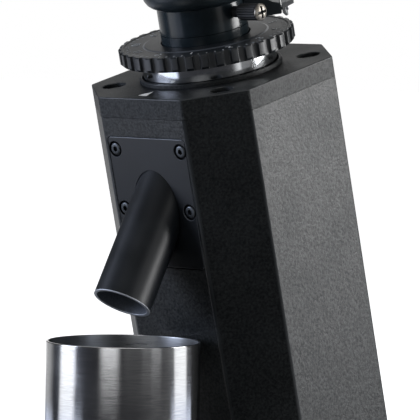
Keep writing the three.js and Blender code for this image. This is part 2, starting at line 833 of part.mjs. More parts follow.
function makeCap() {
  const plate = extrudedWithTopChamfer(columnOutline, capBottom, 0, capEdgeChamfer);
  const lip = rod(capLipRadius, capBottom, capLipHeight, largeRound);
  const opening = rod(capOpeningRadius, capBottom - cutOverrun, capLipHeight + cutOverrun, largeRound);
  const holes = capScrewPlaces.map(([x, y]) =>
    rod(capScrewRadius + seatGap, capBottom - cutOverrun, cutOverrun).translate(x, y, 0));
  const counterbores = capScrewPlaces.map(([x, y]) =>
    rod(capCounterboreRadius, -capCounterboreDepth, cutOverrun).translate(x, y, 0));
  const mark = extruded(indexMarkOutline(seatGap), -indexMarkDepth, cutOverrun).rotateZ(indexMarkTurn);
  return cut(joined(plate, lip), opening, ...holes, ...counterbores, mark);
}
addPiece(tower, 'top_cap', makeCap(), finishes.capCoat);
const indexMark = extruded(indexMarkOutline(0), seatGap - indexMarkDepth, 0).rotateZ(indexMarkTurn);
addPiece(tower, 'index_mark', indexMark, finishes.white);

capScrewPlaces.forEach(([x, y], i) => {
  const screw = geometryOf(socketScrew(
    capScrewRadius,
    capScrewHeadRadius,
    capScrewHeadHeight,
    capScrewLength,
    capScrewKeyWidth,
    capScrewKeyDepth,
  ));
  screw.translate(x, y, seatGap - capCounterboreDepth);
  addPiece(tower, `cap_screw_${i + 1}`, screw, finishes.blackSteel);
});

// Spout plate: flush with the column's front, with four counterbored screws
function makeSpoutPlate() {
  const plateAt = (inset) => roundedRectangle(
    plateWidth - 2 * inset,
    plateHeight - 2 * inset,
    plateCornerRadius - inset,
  );
  const slab = geometryOf(extrudedWithTopChamfer(plateAt, 0, plateThickness, plateEdgeChamfer));
  slab.rotateX(quarterTurn).translate(0, columnFront + plateThickness, plateCentreZ);
  const holes = plateScrewPlaces.map(([x, z]) =>
    rod(plateScrewRadius + seatGap, -cutOverrun, plateThickness + cutOverrun, shankRound)
      .rotateX(-quarterTurn)
      .translate(x, columnFront, z));
  const counterbores = plateScrewPlaces.map(([x, z]) =>
    rod(plateCounterboreRadius, -cutOverrun, plateCounterboreDepth)
      .rotateX(-quarterTurn)
      .translate(x, columnFront, z));
  const tubeHole = alongSpout(spoutRadius + seatGap, 2 * spoutRadius, 2 * spoutRadius);
  return cut(slab, ...holes, ...counterbores, tubeHole);
}
addPiece(tower, 'spout_plate', makeSpoutPlate(), finishes.blackAnodised);

plateScrewPlaces.forEach(([x, z], i) => {
  const screw = geometryOf(socketScrew(
    plateScrewRadius,
    plateScrewHeadRadius,
    plateScrewHeadHeight,
    plateScrewLength,
    plateScrewKeyWidth,
    plateScrewKeyDepth,
  ));
  screw.rotateX(quarterTurn).translate(x, columnFront + plateCounterboreDepth - seatGap, z);
  addPiece(tower, `plate_screw_${i + 1}`, screw, finishes.blackSteel);
});

// Spout: a round tube let into the plate and cut off square at its mouth
function makeSpout() {
  const tube = cut(
    alongSpout(spoutRadius, 2 * spoutRadius, spoutLength, largeRound),
    alongSpout(spoutRadius - spoutWall, 3 * spoutRadius, spoutLength + cutOverrun, mediumRound),
  );
  const behindPlate = block(columnWidth, columnDepth, columnDepth, 0, 0, plateCentreZ - columnDepth / 2)
    .translate(0, columnDepth / 2 + columnFront + plateThickness - seatGap, 0);
  return cut(tube, behindPlate);
}
addPiece(tower, 'spout_tube', makeSpout(), finishes.blackAnodised);

// Declumper: a thin slit leaf between the plate and the outlet
function makeDeclumper() {
  const leafY = recessFloor + declumperPocketDepth - seatGap - declumperThickness / 2;
  const leafBottom = declumperTop - declumperHeight;
  const leaf = block(declumperWidth, declumperThickness, declumperHeight, 0, leafY, leafBottom);
  const slotLength = declumperHeight - 2 * declumperMargin;
  const slots = around(declumperSlotCount, (i) => {
    const x = ((i + 1) / (declumperSlotCount + 1) - 1 / 2) * declumperWidth;
    return block(declumperSlotWidth, 2 * cutOverrun, slotLength, x, leafY, leafBottom + declumperMargin);
  });
  return cut(leaf, ...slots);
}
addPiece(tower, 'declumper_leaf', makeDeclumper(), finishes.rubber);

// Grinding chamber: flange under the cap, burr bore, floor with the bearing seat, and the outlet
function makeChamber() {
  const flange = extruded(columnOutline(columnWall + runningGap), chamberLedge, chamberTop);
  const barrel = rod(chamberRadius, chamberBottom, chamberTop, largeRound);
  const bore = rod(chamberBore, chamberFloor, chamberTop + cutOverrun, largeRound);
  const shaftHole = rod(shaftRadius + runningGap, chamberBottom - cutOverrun, chamberFloor + cutOverrun);
  const seatRadius = bearingSeatRadius + seatGap;
  const bearingSeat = rod(seatRadius, chamberBottom - cutOverrun, bearingTop + seatGap, mediumRound);
  const holes = capScrewPlaces.map(([x, y]) =>
    rod(capScrewRadius + seatGap, chamberLedge - cutOverrun, chamberTop + cutOverrun).translate(x, y, 0));
  const outlet = common(
    alongSpout(outletRadius, columnDepth / 2, spoutLength),
    block(plateWidth, chamberRadius, plateHeight, 0, -chamberRadius / 2 - throatRadius, chamberFloor),
  );
  return cut(joined(flange, barrel), bore, shaftHole, bearingSeat, ...holes, outlet);
}
addPiece(tower, 'grinding_chamber', makeChamber(), finishes.castAluminium);

function bearing(outerRadius, bottom, height) {
  const bore = shaftRadius + bearingBoreGap;
  const top = bottom + height;
  return turned([[bore, bottom], [outerRadius, bottom], [outerRadius, top], [bore, top]], mediumRound);
}
const upperBearing = bearing(bearingSeatRadius, bearingTop - bearingHeight, bearingHeight);
addPiece(tower, 'upper_bearing', upperBearing, finishes.brushedSteel);

// Burr carrier: a threaded sleeve closed by a disc with the throat through it
const carrierScrewPlaces = around(burrScrewCount, (i) => {
  const angle = (i / burrScrewCount) * fullTurn;
  return [burrScrewCircle * Math.cos(angle), burrScrewCircle * Math.sin(angle)];
});

function makeCarrier() {
  const spigotBore = neckRadius + seatGap;
  const spigotFloor = carrierDiscTop - neckSpigotDepth;
  const body = turned([
    [throatRadius, carrierBottom],
    [carrierRadius, carrierBottom],
    [carrierRadius, carrierTop],
    [carrierSleeveBore, carrierTop],
    [carrierSleeveBore, carrierDiscTop],
    [spigotBore, carrierDiscTop],
    [spigotBore, spigotFloor],
    [throatRadius, spigotFloor],
  ]);
  const holeTop = carrierDiscTop - burrScrewHeadHeight;
  const burrHoles = carrierScrewPlaces.map(([x, y]) =>
    rod(burrScrewRadius + seatGap, carrierBottom - cutOverrun, holeTop, shankRound).translate(x, y, 0));
  return cut(body, ...burrHoles);
}
addPiece(tower, 'burr_carrier', makeCarrier(), finishes.chrome);

// Flat burr, teeth up, with its back at zero: skewed grooves round the face
const burrHeadSeat = burrThickness - 2 * burrToothDepth - burrScrewHeadHeight;
function flatBurr(screwRadius) {
  const toothTop = burrThickness;
  const toothRoot = burrThickness - burrToothDepth;
  const dishRadius = (burrBoreRadius + burrRadius) / 2;
  const body = turned([
    [burrBoreRadius, 0],
    [burrRadius, 0],
    [burrRadius, toothTop],
    [dishRadius, toothTop],
    [burrBoreRadius, toothRoot - burrToothDepth],
  ]);
  const grooveHalf = (burrRadius * Math.sin(halfTurn / burrToothCount)) / 2;
  const grooveLength = burrRadius - burrBoreRadius;
  const grooveShape = outline([
    [-grooveHalf, burrThickness + burrToothDepth],
    [0, toothRoot],
    [grooveHalf / 2, burrThickness + burrToothDepth],
  ]);
  const grooves = around(burrToothCount, (i) => extruded(grooveShape, 0, grooveLength)
    .rotateX(quarterTurn)
    .rotateZ(burrToothSkew)
    .translate(0, burrRadius - burrToothDepth, 0)
    .rotateZ((i / burrToothCount) * fullTurn));
  const screwHoles = carrierScrewPlaces.map(([x, y]) =>
    rod(screwRadius + seatGap, -cutOverrun, burrThickness + cutOverrun, shankRound).translate(x, y, 0));
  const headSinks = carrierScrewPlaces.map(([x, y]) =>
    rod(burrScrewHeadRadius + seatGap, burrHeadSeat, burrThickness + cutOverrun).translate(x, y, 0));
  return geometryOf(cut(body, ...grooves, ...screwHoles, ...headSinks));
}
addPiece(
  tower,
  'upper_burr',
  flatBurr(burrScrewRadius).rotateX(halfTurn).translate(0, 0, upperBurrTop),
  finishes.toolSteel,
);
addPiece(tower, 'lower_burr', flatBurr(burrScrewRadius).translate(0, 0, lowerBurrBottom), finishes.toolSteel);

carrierScrewPlaces.forEach(([x, y], i) => {
  const screw = () => geometryOf(socketScrew(
    burrScrewRadius,
    burrScrewHeadRadius,
    burrScrewHeadHeight,
    burrScrewLength,
    burrScrewRadius,
    burrScrewHeadHeight / 2,
  ));
  const upper = screw().rotateX(halfTurn).translate(x, -y, upperBurrTop - burrHeadSeat - seatGap);
  const lower = screw().translate(x, y, lowerBurrBottom + burrHeadSeat + seatGap);
  addPiece(tower, `upper_burr_screw_${i + 1}`, upper, finishes.brushedSteel);
  addPiece(tower, `lower_burr_screw_${i + 1}`, lower, finishes.brushedSteel);
});

// Rotor disc with sweepers, the nut on top, shaft and armature
function makeRotorDisc() {
  const disc = rod(rotorDiscRadius, rotorDiscBottom, rotorDiscTop, largeRound);
  const reach = chamberBore - runningGap;
  const arms = [0, quarterTurn].map((turn) => block(
    2 * reach,
    sweeperWidth,
    rotorDiscThickness - runningGap,
    0,
    0,
    rotorDiscBottom,
  ).rotateZ(turn));
  const sweep = common(joined(...arms), rod(reach, rotorDiscBottom, rotorDiscTop, largeRound));
  const bore = rod(shaftTopRadius + seatGap, rotorDiscBottom - cutOverrun, rotorDiscTop + cutOverrun);
  const holes = carrierScrewPlaces.map(([x, y]) =>
    rod(burrScrewRadius + seatGap, rotorDiscBottom - cutOverrun, rotorDiscTop + cutOverrun, shankRound)
      .translate(x, y, 0));
  return cut(joined(disc, sweep), bore, ...holes);
}
addPiece(tower, 'rotor_disc', makeRotorDisc(), finishes.castAluminium);

const shaftShoulder = rotorDiscBottom - seatGap;
const shaftTop = rotorDiscTop + shaftTopRise;
const shaftBottom = fanBottom;
addPiece(tower, 'motor_shaft', turned([
  [0, shaftBottom],
  [shaftRadius, shaftBottom],
  [shaftRadius, shaftShoulder],
  [shaftTopRadius, shaftShoulder],
  [shaftTopRadius, shaftTop],
  [0, shaftTop],
], smallRound), finishes.brushedSteel);

function makeRotorNut() {
  const bottom = rotorDiscTop + seatGap;
  const dome = common(
    rod(nutRadius, bottom, bottom + nutHeight, 6),
    turned([
      [0, bottom],
      [nutRadius, bottom],
      [nutRadius, bottom + nutHeight / 2],
      [nutRadius / 2, bottom + nutHeight],
      [0, bottom + nutHeight],
    ], smallRound),
  );
  return cut(dome, rod(shaftTopRadius + seatGap, bottom - cutOverrun, shaftTop + seatGap));
}
addPiece(tower, 'rotor_nut', makeRotorNut(), finishes.brushedSteel);

// Motor: housing cup, stator with windings, armature, end cover with its bearing, fan
const motorBore = motorRadius - motorWall;
addPiece(tower, 'motor_housing', turned([
  [shaftRadius + runningGap, motorTop],
  [motorRadius, motorTop],
  [motorRadius, motorBottom],
  [motorBore, motorBottom],
  [motorBore, motorTop - motorWall],
  [shaftRadius + runningGap, motorTop - motorWall],
], mediumRound), finishes.blackSteel);

function statorBars(innerRadius, outerRadius, width, bottom, top) {
  const depth = outerRadius - innerRadius;
  return around(windingSlotCount, (i) =>
    block(depth, width, top - bottom, innerRadius + depth / 2, 0, bottom)
      .rotateZ((i / windingSlotCount) * fullTurn));
}

function makeStator() {
  const core = turned([
    [statorBoreRadius, statorBottom],
    [motorBore - seatGap, statorBottom],
    [motorBore - seatGap, statorTop],
    [statorBoreRadius, statorTop],
  ], mediumRound);
  const slotEnd = statorBoreRadius + windingSlotDepth;
  const slotStart = statorBoreRadius - cutOverrun;
  const slotBottom = statorBottom - cutOverrun;
  return cut(core, ...statorBars(slotStart, slotEnd, windingSlotWidth, slotBottom, statorTop + cutOverrun));
}
addPiece(tower, 'stator_core', makeStator(), finishes.laminations);

// Winding: a bundle above and one below the stator, joined by the coils in its slots
function makeWinding() {
  const outer = motorBore - seatGap - runningGap;
  const inner = outer - windingWidth;
  const bend = windingWidth / 4;
  const bundle = (start, direction) => turned([
    [inner, start],
    [outer, start],
    [outer, start + direction * (windingHeight - bend)],
    [outer - bend, start + direction * windingHeight],
    [inner + bend, start + direction * windingHeight],
    [inner, start + direction * (windingHeight - bend)],
  ], mediumRound);
  const above = statorTop + seatGap;
  const below = statorBottom - seatGap;
  const coils = statorBars(
    inner + seatGap,
    statorBoreRadius + windingSlotDepth - seatGap,
    windingSlotWidth - 2 * seatGap,
    below - seatGap,
    above + seatGap,
  );
  return joined(bundle(above, 1), bundle(below, -1), ...coils);
}
addPiece(tower, 'stator_winding', makeWinding(), finishes.copper);

addPiece(tower, 'armature', turned([
  [shaftRadius + seatGap, statorBottom],
  [rotorCoreRadius, statorBottom],
  [rotorCoreRadius, statorTop],
  [shaftRadius + seatGap, statorTop],
], mediumRound), finishes.laminations);

const endBearingBottom = endBossBottom + seatGap;
const endBearingTop = endBearingBottom + endBearingHeight;
addPiece(tower, 'motor_end_cover', turned([
  [shaftRadius + runningGap, endCoverTop],
  [motorRadius, endCoverTop],
  [motorRadius, endCoverBottom],
  [endBossRadius, endCoverBottom],
  [endBossRadius, endBossBottom],
  [endBearingRadius + seatGap, endBossBottom],
  [endBearingRadius + seatGap, endBearingTop + seatGap],
  [shaftRadius + runningGap, endBearingTop + seatGap],
], mediumRound), finishes.castAluminium);
const lowerBearing = bearing(endBearingRadius, endBearingBottom, endBearingHeight);
addPiece(tower, 'lower_bearing', lowerBearing, finishes.brushedSteel);

function makeFan() {
  const bladeReach = fanRadius - fanHubRadius / 2;
  const blades = around(fanBladeCount, (i) => new THREE.BoxGeometry(bladeReach, fanBladeThickness, fanHeight)
    .rotateX(fanBladePitch)
    .translate(fanHubRadius / 2 + bladeReach / 2, 0, (fanTop + fanBottom) / 2)
    .rotateZ((i / fanBladeCount) * fullTurn));
  const hub = rod(fanHubRadius, fanBottom, fanTop, mediumRound);
  return cut(joined(hub, ...blades), rod(shaftRadius + seatGap, fanBottom - cutOverrun, fanTop + cutOverrun));
}
addPiece(tower, 'cooling_fan', makeFan(), finishes.mattBlack);

// Adjusting dial: notched rim, chamfers, hub inside the carrier's sleeve and a groove round the top
function dialOutline() {
  const pitch = fullTurn / dialNotchCount;
  const root = dialRadius - dialNotchDepth;
  const points = [];
  const place = (radius, share, i) => {
    const angle = (i + share) * pitch;
    points.push([radius * Math.cos(angle), radius * Math.sin(angle)]);
  };
  for (let i = 0; i < dialNotchCount; i += 1) {
    place(dialRadius, -dialNotchShare / 2 + dialFlankShare / 2, i);
    place(dialRadius, dialNotchShare / 2 - dialFlankShare / 2, i);
    place(root, dialNotchShare / 2 + dialFlankShare / 2, i);
    place(root, 1 - dialNotchShare / 2 - dialFlankShare / 2, i);
  }
  return outline(points);
}

function makeDial() {
  const envelope = turned([
    [0, dialBottom],
    [dialRadius - dialBottomChamfer, dialBottom],
    [dialRadius + dialNotchDepth, dialBottom + dialBottomChamfer + dialNotchDepth],
    [dialRadius + dialNotchDepth, dialTop - dialTopChamfer - dialNotchDepth],
    [dialRadius - dialTopChamfer, dialTop],
    [0, dialTop],
  ], dialNotchCount);
  const rim = common(extruded(dialOutline(), dialBottom, dialTop), envelope);
  const hub = rod(dialHubRadius, dialBottom - dialHubDepth, dialBottom + seatGap, largeRound);
  const bore = rod(dialBoreRadius, dialBottom - dialHubDepth - cutOverrun, dialTop + cutOverrun, largeRound);
  const grooveInner = dialRingGrooveRadius - dialRingGrooveWidth / 2;
  const groove = turned([
    [grooveInner, dialTop - dialRingGrooveDepth],
    [grooveInner + dialRingGrooveWidth, dialTop - dialRingGrooveDepth],
    [grooveInner + dialRingGrooveWidth, dialTop + cutOverrun],
    [grooveInner, dialTop + cutOverrun],
  ]);
  return cut(joined(rim, hub), bore, groove);
}
addPiece(tower, 'adjusting_dial', makeDial(), finishes.blackAnodised);

// Neck: a tube whose spigot screws into the carrier's disc, stepped where the hopper's collar slides on
const neckBottom = carrierDiscTop + seatGap;
const neckShoulder = dialTop + neckShoulderRise;
function makeNeck() {
  const spigotBottom = neckBottom - neckSpigotDepth;
  return turned([
    [neckBoreRadius, spigotBottom],
    [neckRadius, spigotBottom],
    [neckRadius, neckBottom],
    [neckFlangeRadius, neckBottom],
    [neckFlangeRadius, neckBottom + neckFlangeThickness],
    [neckFootRadius, neckBottom + neckFlangeThickness],
    [neckFootRadius, neckShoulder],
    [neckRadius, neckShoulder],
    [neckRadius, neckTopHeight],
    [neckBoreRadius, neckTopHeight],
  ]);
}
addPiece(tower, 'hopper_neck', makeNeck(), finishes.glossBlack);

// Hopper: collar, rounded bottom, funnel, flared wall and the arm that turns it
const hopperFloor = neckTopHeight + seatGap;
const hopperTop = hopperFloor + hopperHeight;

// Turns a shape drawn along +X into the arm's direction
const alongArm = (geometry) => geometry.rotateZ(hopperArmAngle);

function makeHopper() {
  const arcSteps = 4;
  const arcCentreRadius = hopperLowRadius - hopperCornerRadius;
  const arc = around(arcSteps + 1, (i) => {
    const angle = (i / arcSteps) * quarterTurn;
    const radius = arcCentreRadius + hopperCornerRadius * Math.sin(angle);
    return [radius, hopperFloor + hopperCornerRadius * (1 - Math.cos(angle))];
  });
  const funnelTop = hopperFloor + hopperWall + hopperFunnelDrop;
  const taper = (hopperTopRadius - hopperLowRadius) / (hopperHeight - hopperCornerRadius);
  const innerLow = hopperLowRadius - hopperWall + taper * (funnelTop - hopperFloor - hopperCornerRadius);
  const bowl = turned([
    [hopperCollarBore, hopperCollarBottom],
    [hopperCollarRadius, hopperCollarBottom],
    [hopperCollarRadius, hopperFloor],
    ...arc.slice(1),
    [hopperTopRadius, hopperTop],
    [hopperTopRadius - hopperWall, hopperTop],
    [innerLow, funnelTop],
    [hopperThroatRadius, hopperFloor + hopperWall],
    [hopperThroatRadius, hopperFloor],
    [hopperCollarBore, hopperFloor],
  ]);
  const armStart = (hopperCollarBore + hopperCollarRadius) / 2;
  const armLength = hopperArmReach - armStart;
  const armCentre = armStart + armLength / 2;
  const arm = alongArm(block(armLength, hopperArmWidth, hopperArmThickness, armCentre, 0, hopperArmBottom));
  const tabHoleStart = hopperArmReach - tabScrewLength;
  const tabHoleEnd = hopperArmReach + cutOverrun;
  const tabHole = alongArm(rod(tabScrewRadius + seatGap, tabHoleStart, tabHoleEnd, shankRound)
    .rotateY(quarterTurn)
    .translate(0, 0, hopperArmBottom + tabScrewRise));
  const pinHole = rod(pinRadius + seatGap, neckBoreRadius, hopperArmReach, smallRound)
    .rotateY(quarterTurn)
    .translate(0, 0, knobHeight);
  const boreAgain = rod(hopperCollarBore, hopperCollarBottom - cutOverrun, hopperFloor - seatGap, largeRound);
  return cut(cut(joined(bowl, arm), boreAgain), tabHole, pinHole);
}
addPiece(tower, 'hopper', makeHopper(), finishes.glossBlack);

// Finger tab: a bent plate at the arm's end, flared outwards at its top
function makeTab() {
  const inner = hopperArmReach + seatGap;
  const outer = inner + tabThickness;
  const profile = outline([
    [inner, tabBottom],
    [outer, tabBottom],
    [outer, tabBendHeight],
    [outer + tabFlare, tabTop],
    [inner + tabFlare, tabTop],
    [inner, tabBendHeight],
  ]);
  const plate = extruded(profile, -hopperArmWidth / 2, hopperArmWidth / 2).rotateX(quarterTurn);
  const hole = rod(tabScrewRadius + seatGap, inner - cutOverrun, outer + cutOverrun, shankRound)
    .rotateY(quarterTurn)
    .translate(0, 0, hopperArmBottom + tabScrewRise);
  return cut(alongArm(plate), alongArm(hole));
}
addPiece(tower, 'finger_tab', makeTab(), finishes.brushedSteel);
const tabScrew = geometryOf(socketScrew(
  tabScrewRadius,
  tabScrewHeadRadius,
  tabScrewHeadHeight,
  tabScrewLength,
  tabScrewRadius,
  tabScrewHeadHeight / 2,
));
tabScrew
  .rotateY(quarterTurn)
  .translate(hopperArmReach + 2 * seatGap + tabThickness, 0, hopperArmBottom + tabScrewRise);
addPiece(tower, 'tab_screw', alongArm(tabScrew), finishes.brushedSteel);

// Lid: plug that drops into the hopper, chamfered disc and a waisted knob
function makeLid() {
  const bottom = hopperTop + seatGap;
  const top = bottom + lidThickness;
  const plugRadius = hopperTopRadius - hopperWall - runningGap - seatGap;
  return turned([
    [0, bottom],
    [plugRadius - lidPlugWall, bottom],
    [plugRadius - lidPlugWall, bottom - lidPlugDepth],
    [plugRadius, bottom - lidPlugDepth],
    [plugRadius, bottom],
    [hopperTopRadius, bottom],
    [hopperTopRadius, top - lidEdgeChamfer],
    [hopperTopRadius - lidEdgeChamfer, top],
    [lidKnobWaist, top],
    [lidKnobWaist, top + lidKnobHeight / 2],
    [lidKnobRadius, top + (3 * lidKnobHeight) / 4],
    [lidKnobRadius, top + lidKnobHeight - lidEdgeChamfer],
    [lidKnobRadius - lidEdgeChamfer, top + lidKnobHeight],
    [0, top + lidKnobHeight],
  ]);
}
addPiece(tower, 'hopper_lid', makeLid(), finishes.glossBlack);

// Thumb knob: drawn along Z from the collar outwards, then laid along +X
const knobStart = hopperCollarRadius + knobStandOff;
const knobEnd = knobStart + knobLength;
const pinStart = neckRadius + seatGap;
const layAlongX = (geometry) => geometry.rotateY(quarterTurn).translate(0, 0, knobHeight);

function makeKnob() {
  const ribs = outline(around(2 * knobRibCount, (i) => {
    const angle = (i / (2 * knobRibCount)) * fullTurn;
    const radius = knobRadius - (i % 2) * knobRibDepth;
    return [radius * Math.cos(angle), radius * Math.sin(angle)];
  }));
  const body = extruded(ribs, knobStart, knobEnd);
  const pinBoreEnd = pinStart + pinLength + pinTravel + seatGap;
  const pinBore = rod(pinRadius + seatGap, knobStart - cutOverrun, pinBoreEnd, shankRound);
  const screwBoreStart = knobEnd - knobScrewShankLength - runningGap;
  const screwBore = rod(knobScrewShankRadius + seatGap, screwBoreStart, knobEnd + cutOverrun, shankRound);
  return geometryOf(cut(body, pinBore, screwBore));
}
addPiece(tower, 'lock_knob', layAlongX(makeKnob()), finishes.mattBlack);

function makeKnobScrew() {
  const seat = knobEnd + seatGap;
  const top = seat + knobScrewThickness;
  const head = turned([
    [0, seat],
    [knobScrewRadius, seat],
    [knobScrewRadius, seat + knobScrewThickness / 2],
    [(3 * knobScrewRadius) / 4, top],
    [0, top],
  ], smallRound);
  const shank = rod(knobScrewShankRadius, seat - knobScrewShankLength, seat + seatGap, shankRound);
  const cross = [0, quarterTurn].map((turn) => block(
    knobScrewCrossSpan,
    knobScrewCrossWidth,
    knobScrewCrossDepth + cutOverrun,
    0,
    0,
    top - knobScrewCrossDepth,
  ).rotateZ(turn));
  return geometryOf(cut(joined(head, shank), ...cross));
}
addPiece(tower, 'knob_screw', layAlongX(makeKnobScrew()), finishes.polishedSteel);

addPiece(
  tower,
  'lock_pin',
  layAlongX(turned([
    [0, pinStart],
    [pinRadius / 2, pinStart],
    [pinRadius, pinStart + pinRadius / 2],
    [pinRadius, pinStart + pinLength],
    [0, pinStart + pinLength],
  ], shankRound)),
  finishes.brushedSteel,
);

// Rocker switch: flange and body through the left wall, and the rocker on its pin
const switchFace = -columnWidth / 2;
const layOnLeft = (geometry) =>
  geometry.rotateY(-quarterTurn).translate(switchFace, -switchForward, -switchDrop);

function makeSwitchBody() {
  const bodyLength = switchLength - 2 * switchBodyInset;
  const bodyWidth = switchWidth - 2 * switchBodyInset;
  const cavityLength = bodyLength - 2 * switchWall;
  const cavityWidth = bodyWidth - 2 * switchWall;
  const flangeOutline = roundedRectangle(switchLength, switchWidth, switchWall);
  const flange = extruded(flangeOutline, seatGap, switchFlangeThickness);
  const body = block(bodyLength, bodyWidth, switchBodyDepth + 2 * seatGap, 0, 0, -switchBodyDepth);
  const cavity = block(
    cavityLength,
    cavityWidth,
    switchCavityDepth + switchFlangeThickness + cutOverrun,
    0,
    0,
    -switchCavityDepth,
  );
  const pinHole = rod(rockerPinRadius + seatGap, -switchWidth, switchWidth, shankRound)
    .rotateX(quarterTurn)
    .translate(0, 0, -rockerPinDepth);
  const pinRoom = block(switchLength, cavityWidth + switchWall, switchWidth, 0, 0, -switchWidth);
  const pinSlot = common(pinHole, pinRoom);
  return geometryOf(cut(joined(flange, body), cavity, pinSlot));
}
addPiece(tower, 'switch_body', layOnLeft(makeSwitchBody()), finishes.mattBlack);

// The rocker stands with its lower end pressed in
function makeRocker() {
  const cavityLength = switchLength - 2 * switchBodyInset - 2 * switchWall;
  const cavityWidth = switchWidth - 2 * switchBodyInset - 2 * switchWall;
  const half = cavityLength / 2 - rockerEndGap;
  const top = switchFlangeThickness + rockerRise;
  const dip = half * Math.tan(rockerTilt);
  const profile = outline([
    [-half, top],
    [0, top - dip],
    [half, top],
    [half - runningGap, -rockerPinDepth],
    [rockerKeelWidth / 2, -rockerKeelDepth],
    [-rockerKeelWidth / 2, -rockerKeelDepth],
    [runningGap - half, -rockerPinDepth],
  ]);
  const width = cavityWidth - 2 * seatGap;
  const body = extruded(profile, -width / 2, width / 2).rotateX(quarterTurn);
  const pinReach = width / 2 + switchWall / 2;
  const pin = rod(rockerPinRadius, -pinReach, pinReach, shankRound)
    .rotateX(quarterTurn)
    .translate(0, 0, -rockerPinDepth);
  return geometryOf(joined(body, pin))
    .translate(0, 0, rockerPinDepth)
    .rotateY(-rockerTilt)
    .translate(0, 0, -rockerPinDepth);
}
addPiece(tower, 'power_rocker', layOnLeft(makeRocker()), finishes.mattBlack);

// Mains inlet: flange, six-sided socket with three flat pins, two screws
const inletFace = columnDepth / 2;
const layOnRear = (geometry) => geometry.rotateX(-quarterTurn).translate(0, inletFace, -inletDrop);

function makeInlet() {
  const x = inletWidth / 2 - inletWall;
  const y = inletHeight / 2 - inletWall;
  const bevelX = x - inletCornerCut;
  const bevelY = inletCornerCut - y;
  const socketOutline = outline([[-x, y], [-x, bevelY], [-bevelX, -y], [bevelX, -y], [x, bevelY], [x, y]]);
  const flange = extruded(
    roundedRectangle(inletFlangeWidth, inletFlangeHeight, inletFlangeThickness),
    seatGap,
    seatGap + inletFlangeThickness,
  );
  const body = block(inletWidth, inletHeight, inletBodyDepth + 2 * seatGap, 0, 0, -inletBodyDepth);
  const socketFloor = inletFlangeThickness - inletSocketDepth;
  const socket = extruded(socketOutline, socketFloor, inletFlangeThickness + cutOverrun);
  const pinRoot = socketFloor - seatGap;
  const pins = [-1, 0, 1].map((place) => {
    const x = (place * inletPinSpacing) / 2;
    const y = place === 0 ? -inletPinOffset : inletPinOffset;
    return block(inletPinWidth, inletPinHeight, inletPinLength + seatGap, x, y, pinRoot);
  });
  const screwHoles = [-1, 1].map((side) =>
    rod(inletScrewRadius + seatGap, -cutOverrun, inletFlangeThickness + cutOverrun, shankRound)
      .translate((side * inletScrewSpacing) / 2, 0, 0));
  return geometryOf(joined(cut(joined(flange, body), socket, ...screwHoles), ...pins));
}
addPiece(tower, 'power_inlet', layOnRear(makeInlet()), finishes.mattBlack);
[-1, 1].forEach((side, i) => {
  const screw = geometryOf(socketScrew(
    inletScrewRadius,
    inletScrewHeadRadius,
    inletScrewHeadHeight,
    inletScrewLength,
    inletScrewRadius,
    inletScrewHeadHeight / 2,
  ));
  screw.translate((side * inletScrewSpacing) / 2, 0, inletFlangeThickness + 2 * seatGap);
  addPiece(tower, `inlet_screw_${i + 1}`, layOnRear(screw), finishes.blackSteel);
});

// Control board on its posts, and the motor's capacitor in its cradle
function makeBoard() {
  const board = block(boardWidth, boardLength, boardThickness, 0, boardCentreY, boardBottom);
  const relay = block(
    relayWidth,
    relayLength,
    relayHeight + seatGap,
    (relayWidth - boardWidth) / 4,
    boardCentreY,
    boardTop - seatGap,
  );
  const terminals = block(
    terminalWidth,
    terminalLength,
    terminalHeight + seatGap,
    (boardWidth - terminalWidth) / 4,
    boardCentreY + boardLength / 4,
    boardTop - seatGap,
  );
  return joined(board, relay, terminals);
}
addPiece(grinder, 'control_board', makeBoard(), finishes.boardGreen);

const capacitorCentreZ = baseTop + cradleWall + capacitorRadius + seatGap;
addPiece(
  grinder,
  'run_capacitor',
  rod(capacitorRadius, -capacitorLength / 2, capacitorLength / 2, mediumRound)
    .rotateY(quarterTurn)
    .translate(0, capacitorCentreY, capacitorCentreZ),
  finishes.brushedSteel,
);

export default grinder;
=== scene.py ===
import json
import math

import bmesh
import bpy
from mathutils import Matrix, Vector


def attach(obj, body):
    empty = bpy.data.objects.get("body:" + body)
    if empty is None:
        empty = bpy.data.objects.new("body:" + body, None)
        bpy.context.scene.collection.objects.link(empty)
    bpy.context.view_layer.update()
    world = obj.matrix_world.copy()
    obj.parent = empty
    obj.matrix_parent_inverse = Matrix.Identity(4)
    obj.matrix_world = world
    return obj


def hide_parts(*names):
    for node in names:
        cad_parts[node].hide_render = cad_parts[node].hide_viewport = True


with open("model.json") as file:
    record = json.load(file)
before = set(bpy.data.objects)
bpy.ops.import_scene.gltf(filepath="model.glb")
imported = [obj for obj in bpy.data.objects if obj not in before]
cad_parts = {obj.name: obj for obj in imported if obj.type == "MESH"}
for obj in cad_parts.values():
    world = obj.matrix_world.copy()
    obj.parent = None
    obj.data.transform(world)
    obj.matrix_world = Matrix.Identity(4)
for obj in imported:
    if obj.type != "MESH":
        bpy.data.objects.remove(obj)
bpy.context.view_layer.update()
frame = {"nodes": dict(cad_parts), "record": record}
nodes = frame["nodes"]
scene = bpy.context.scene
scene.view_settings.view_transform = "Standard"

# Pieces are drawn in millimetres, either upright on the table or in the leaning tower's own axes:
# origin at the middle of the cap's top, X to the right, Y to the rear, Z along the column.
MM = 0.001
FULL = 2 * math.pi
LEAN = math.radians(14.7)
CAP_CENTRE = Vector((0, -0.00382858, 0.2372))
TOWER = Matrix.Translation(CAP_CENTRE) @ Matrix.Rotation(LEAN, 4, "X") @ Matrix.Scale(MM, 4)
UPRIGHT = Matrix.Scale(MM, 4)
QUARTERS = ((-1, -1), (1, -1), (1, 1), (-1, 1))

# Helpers

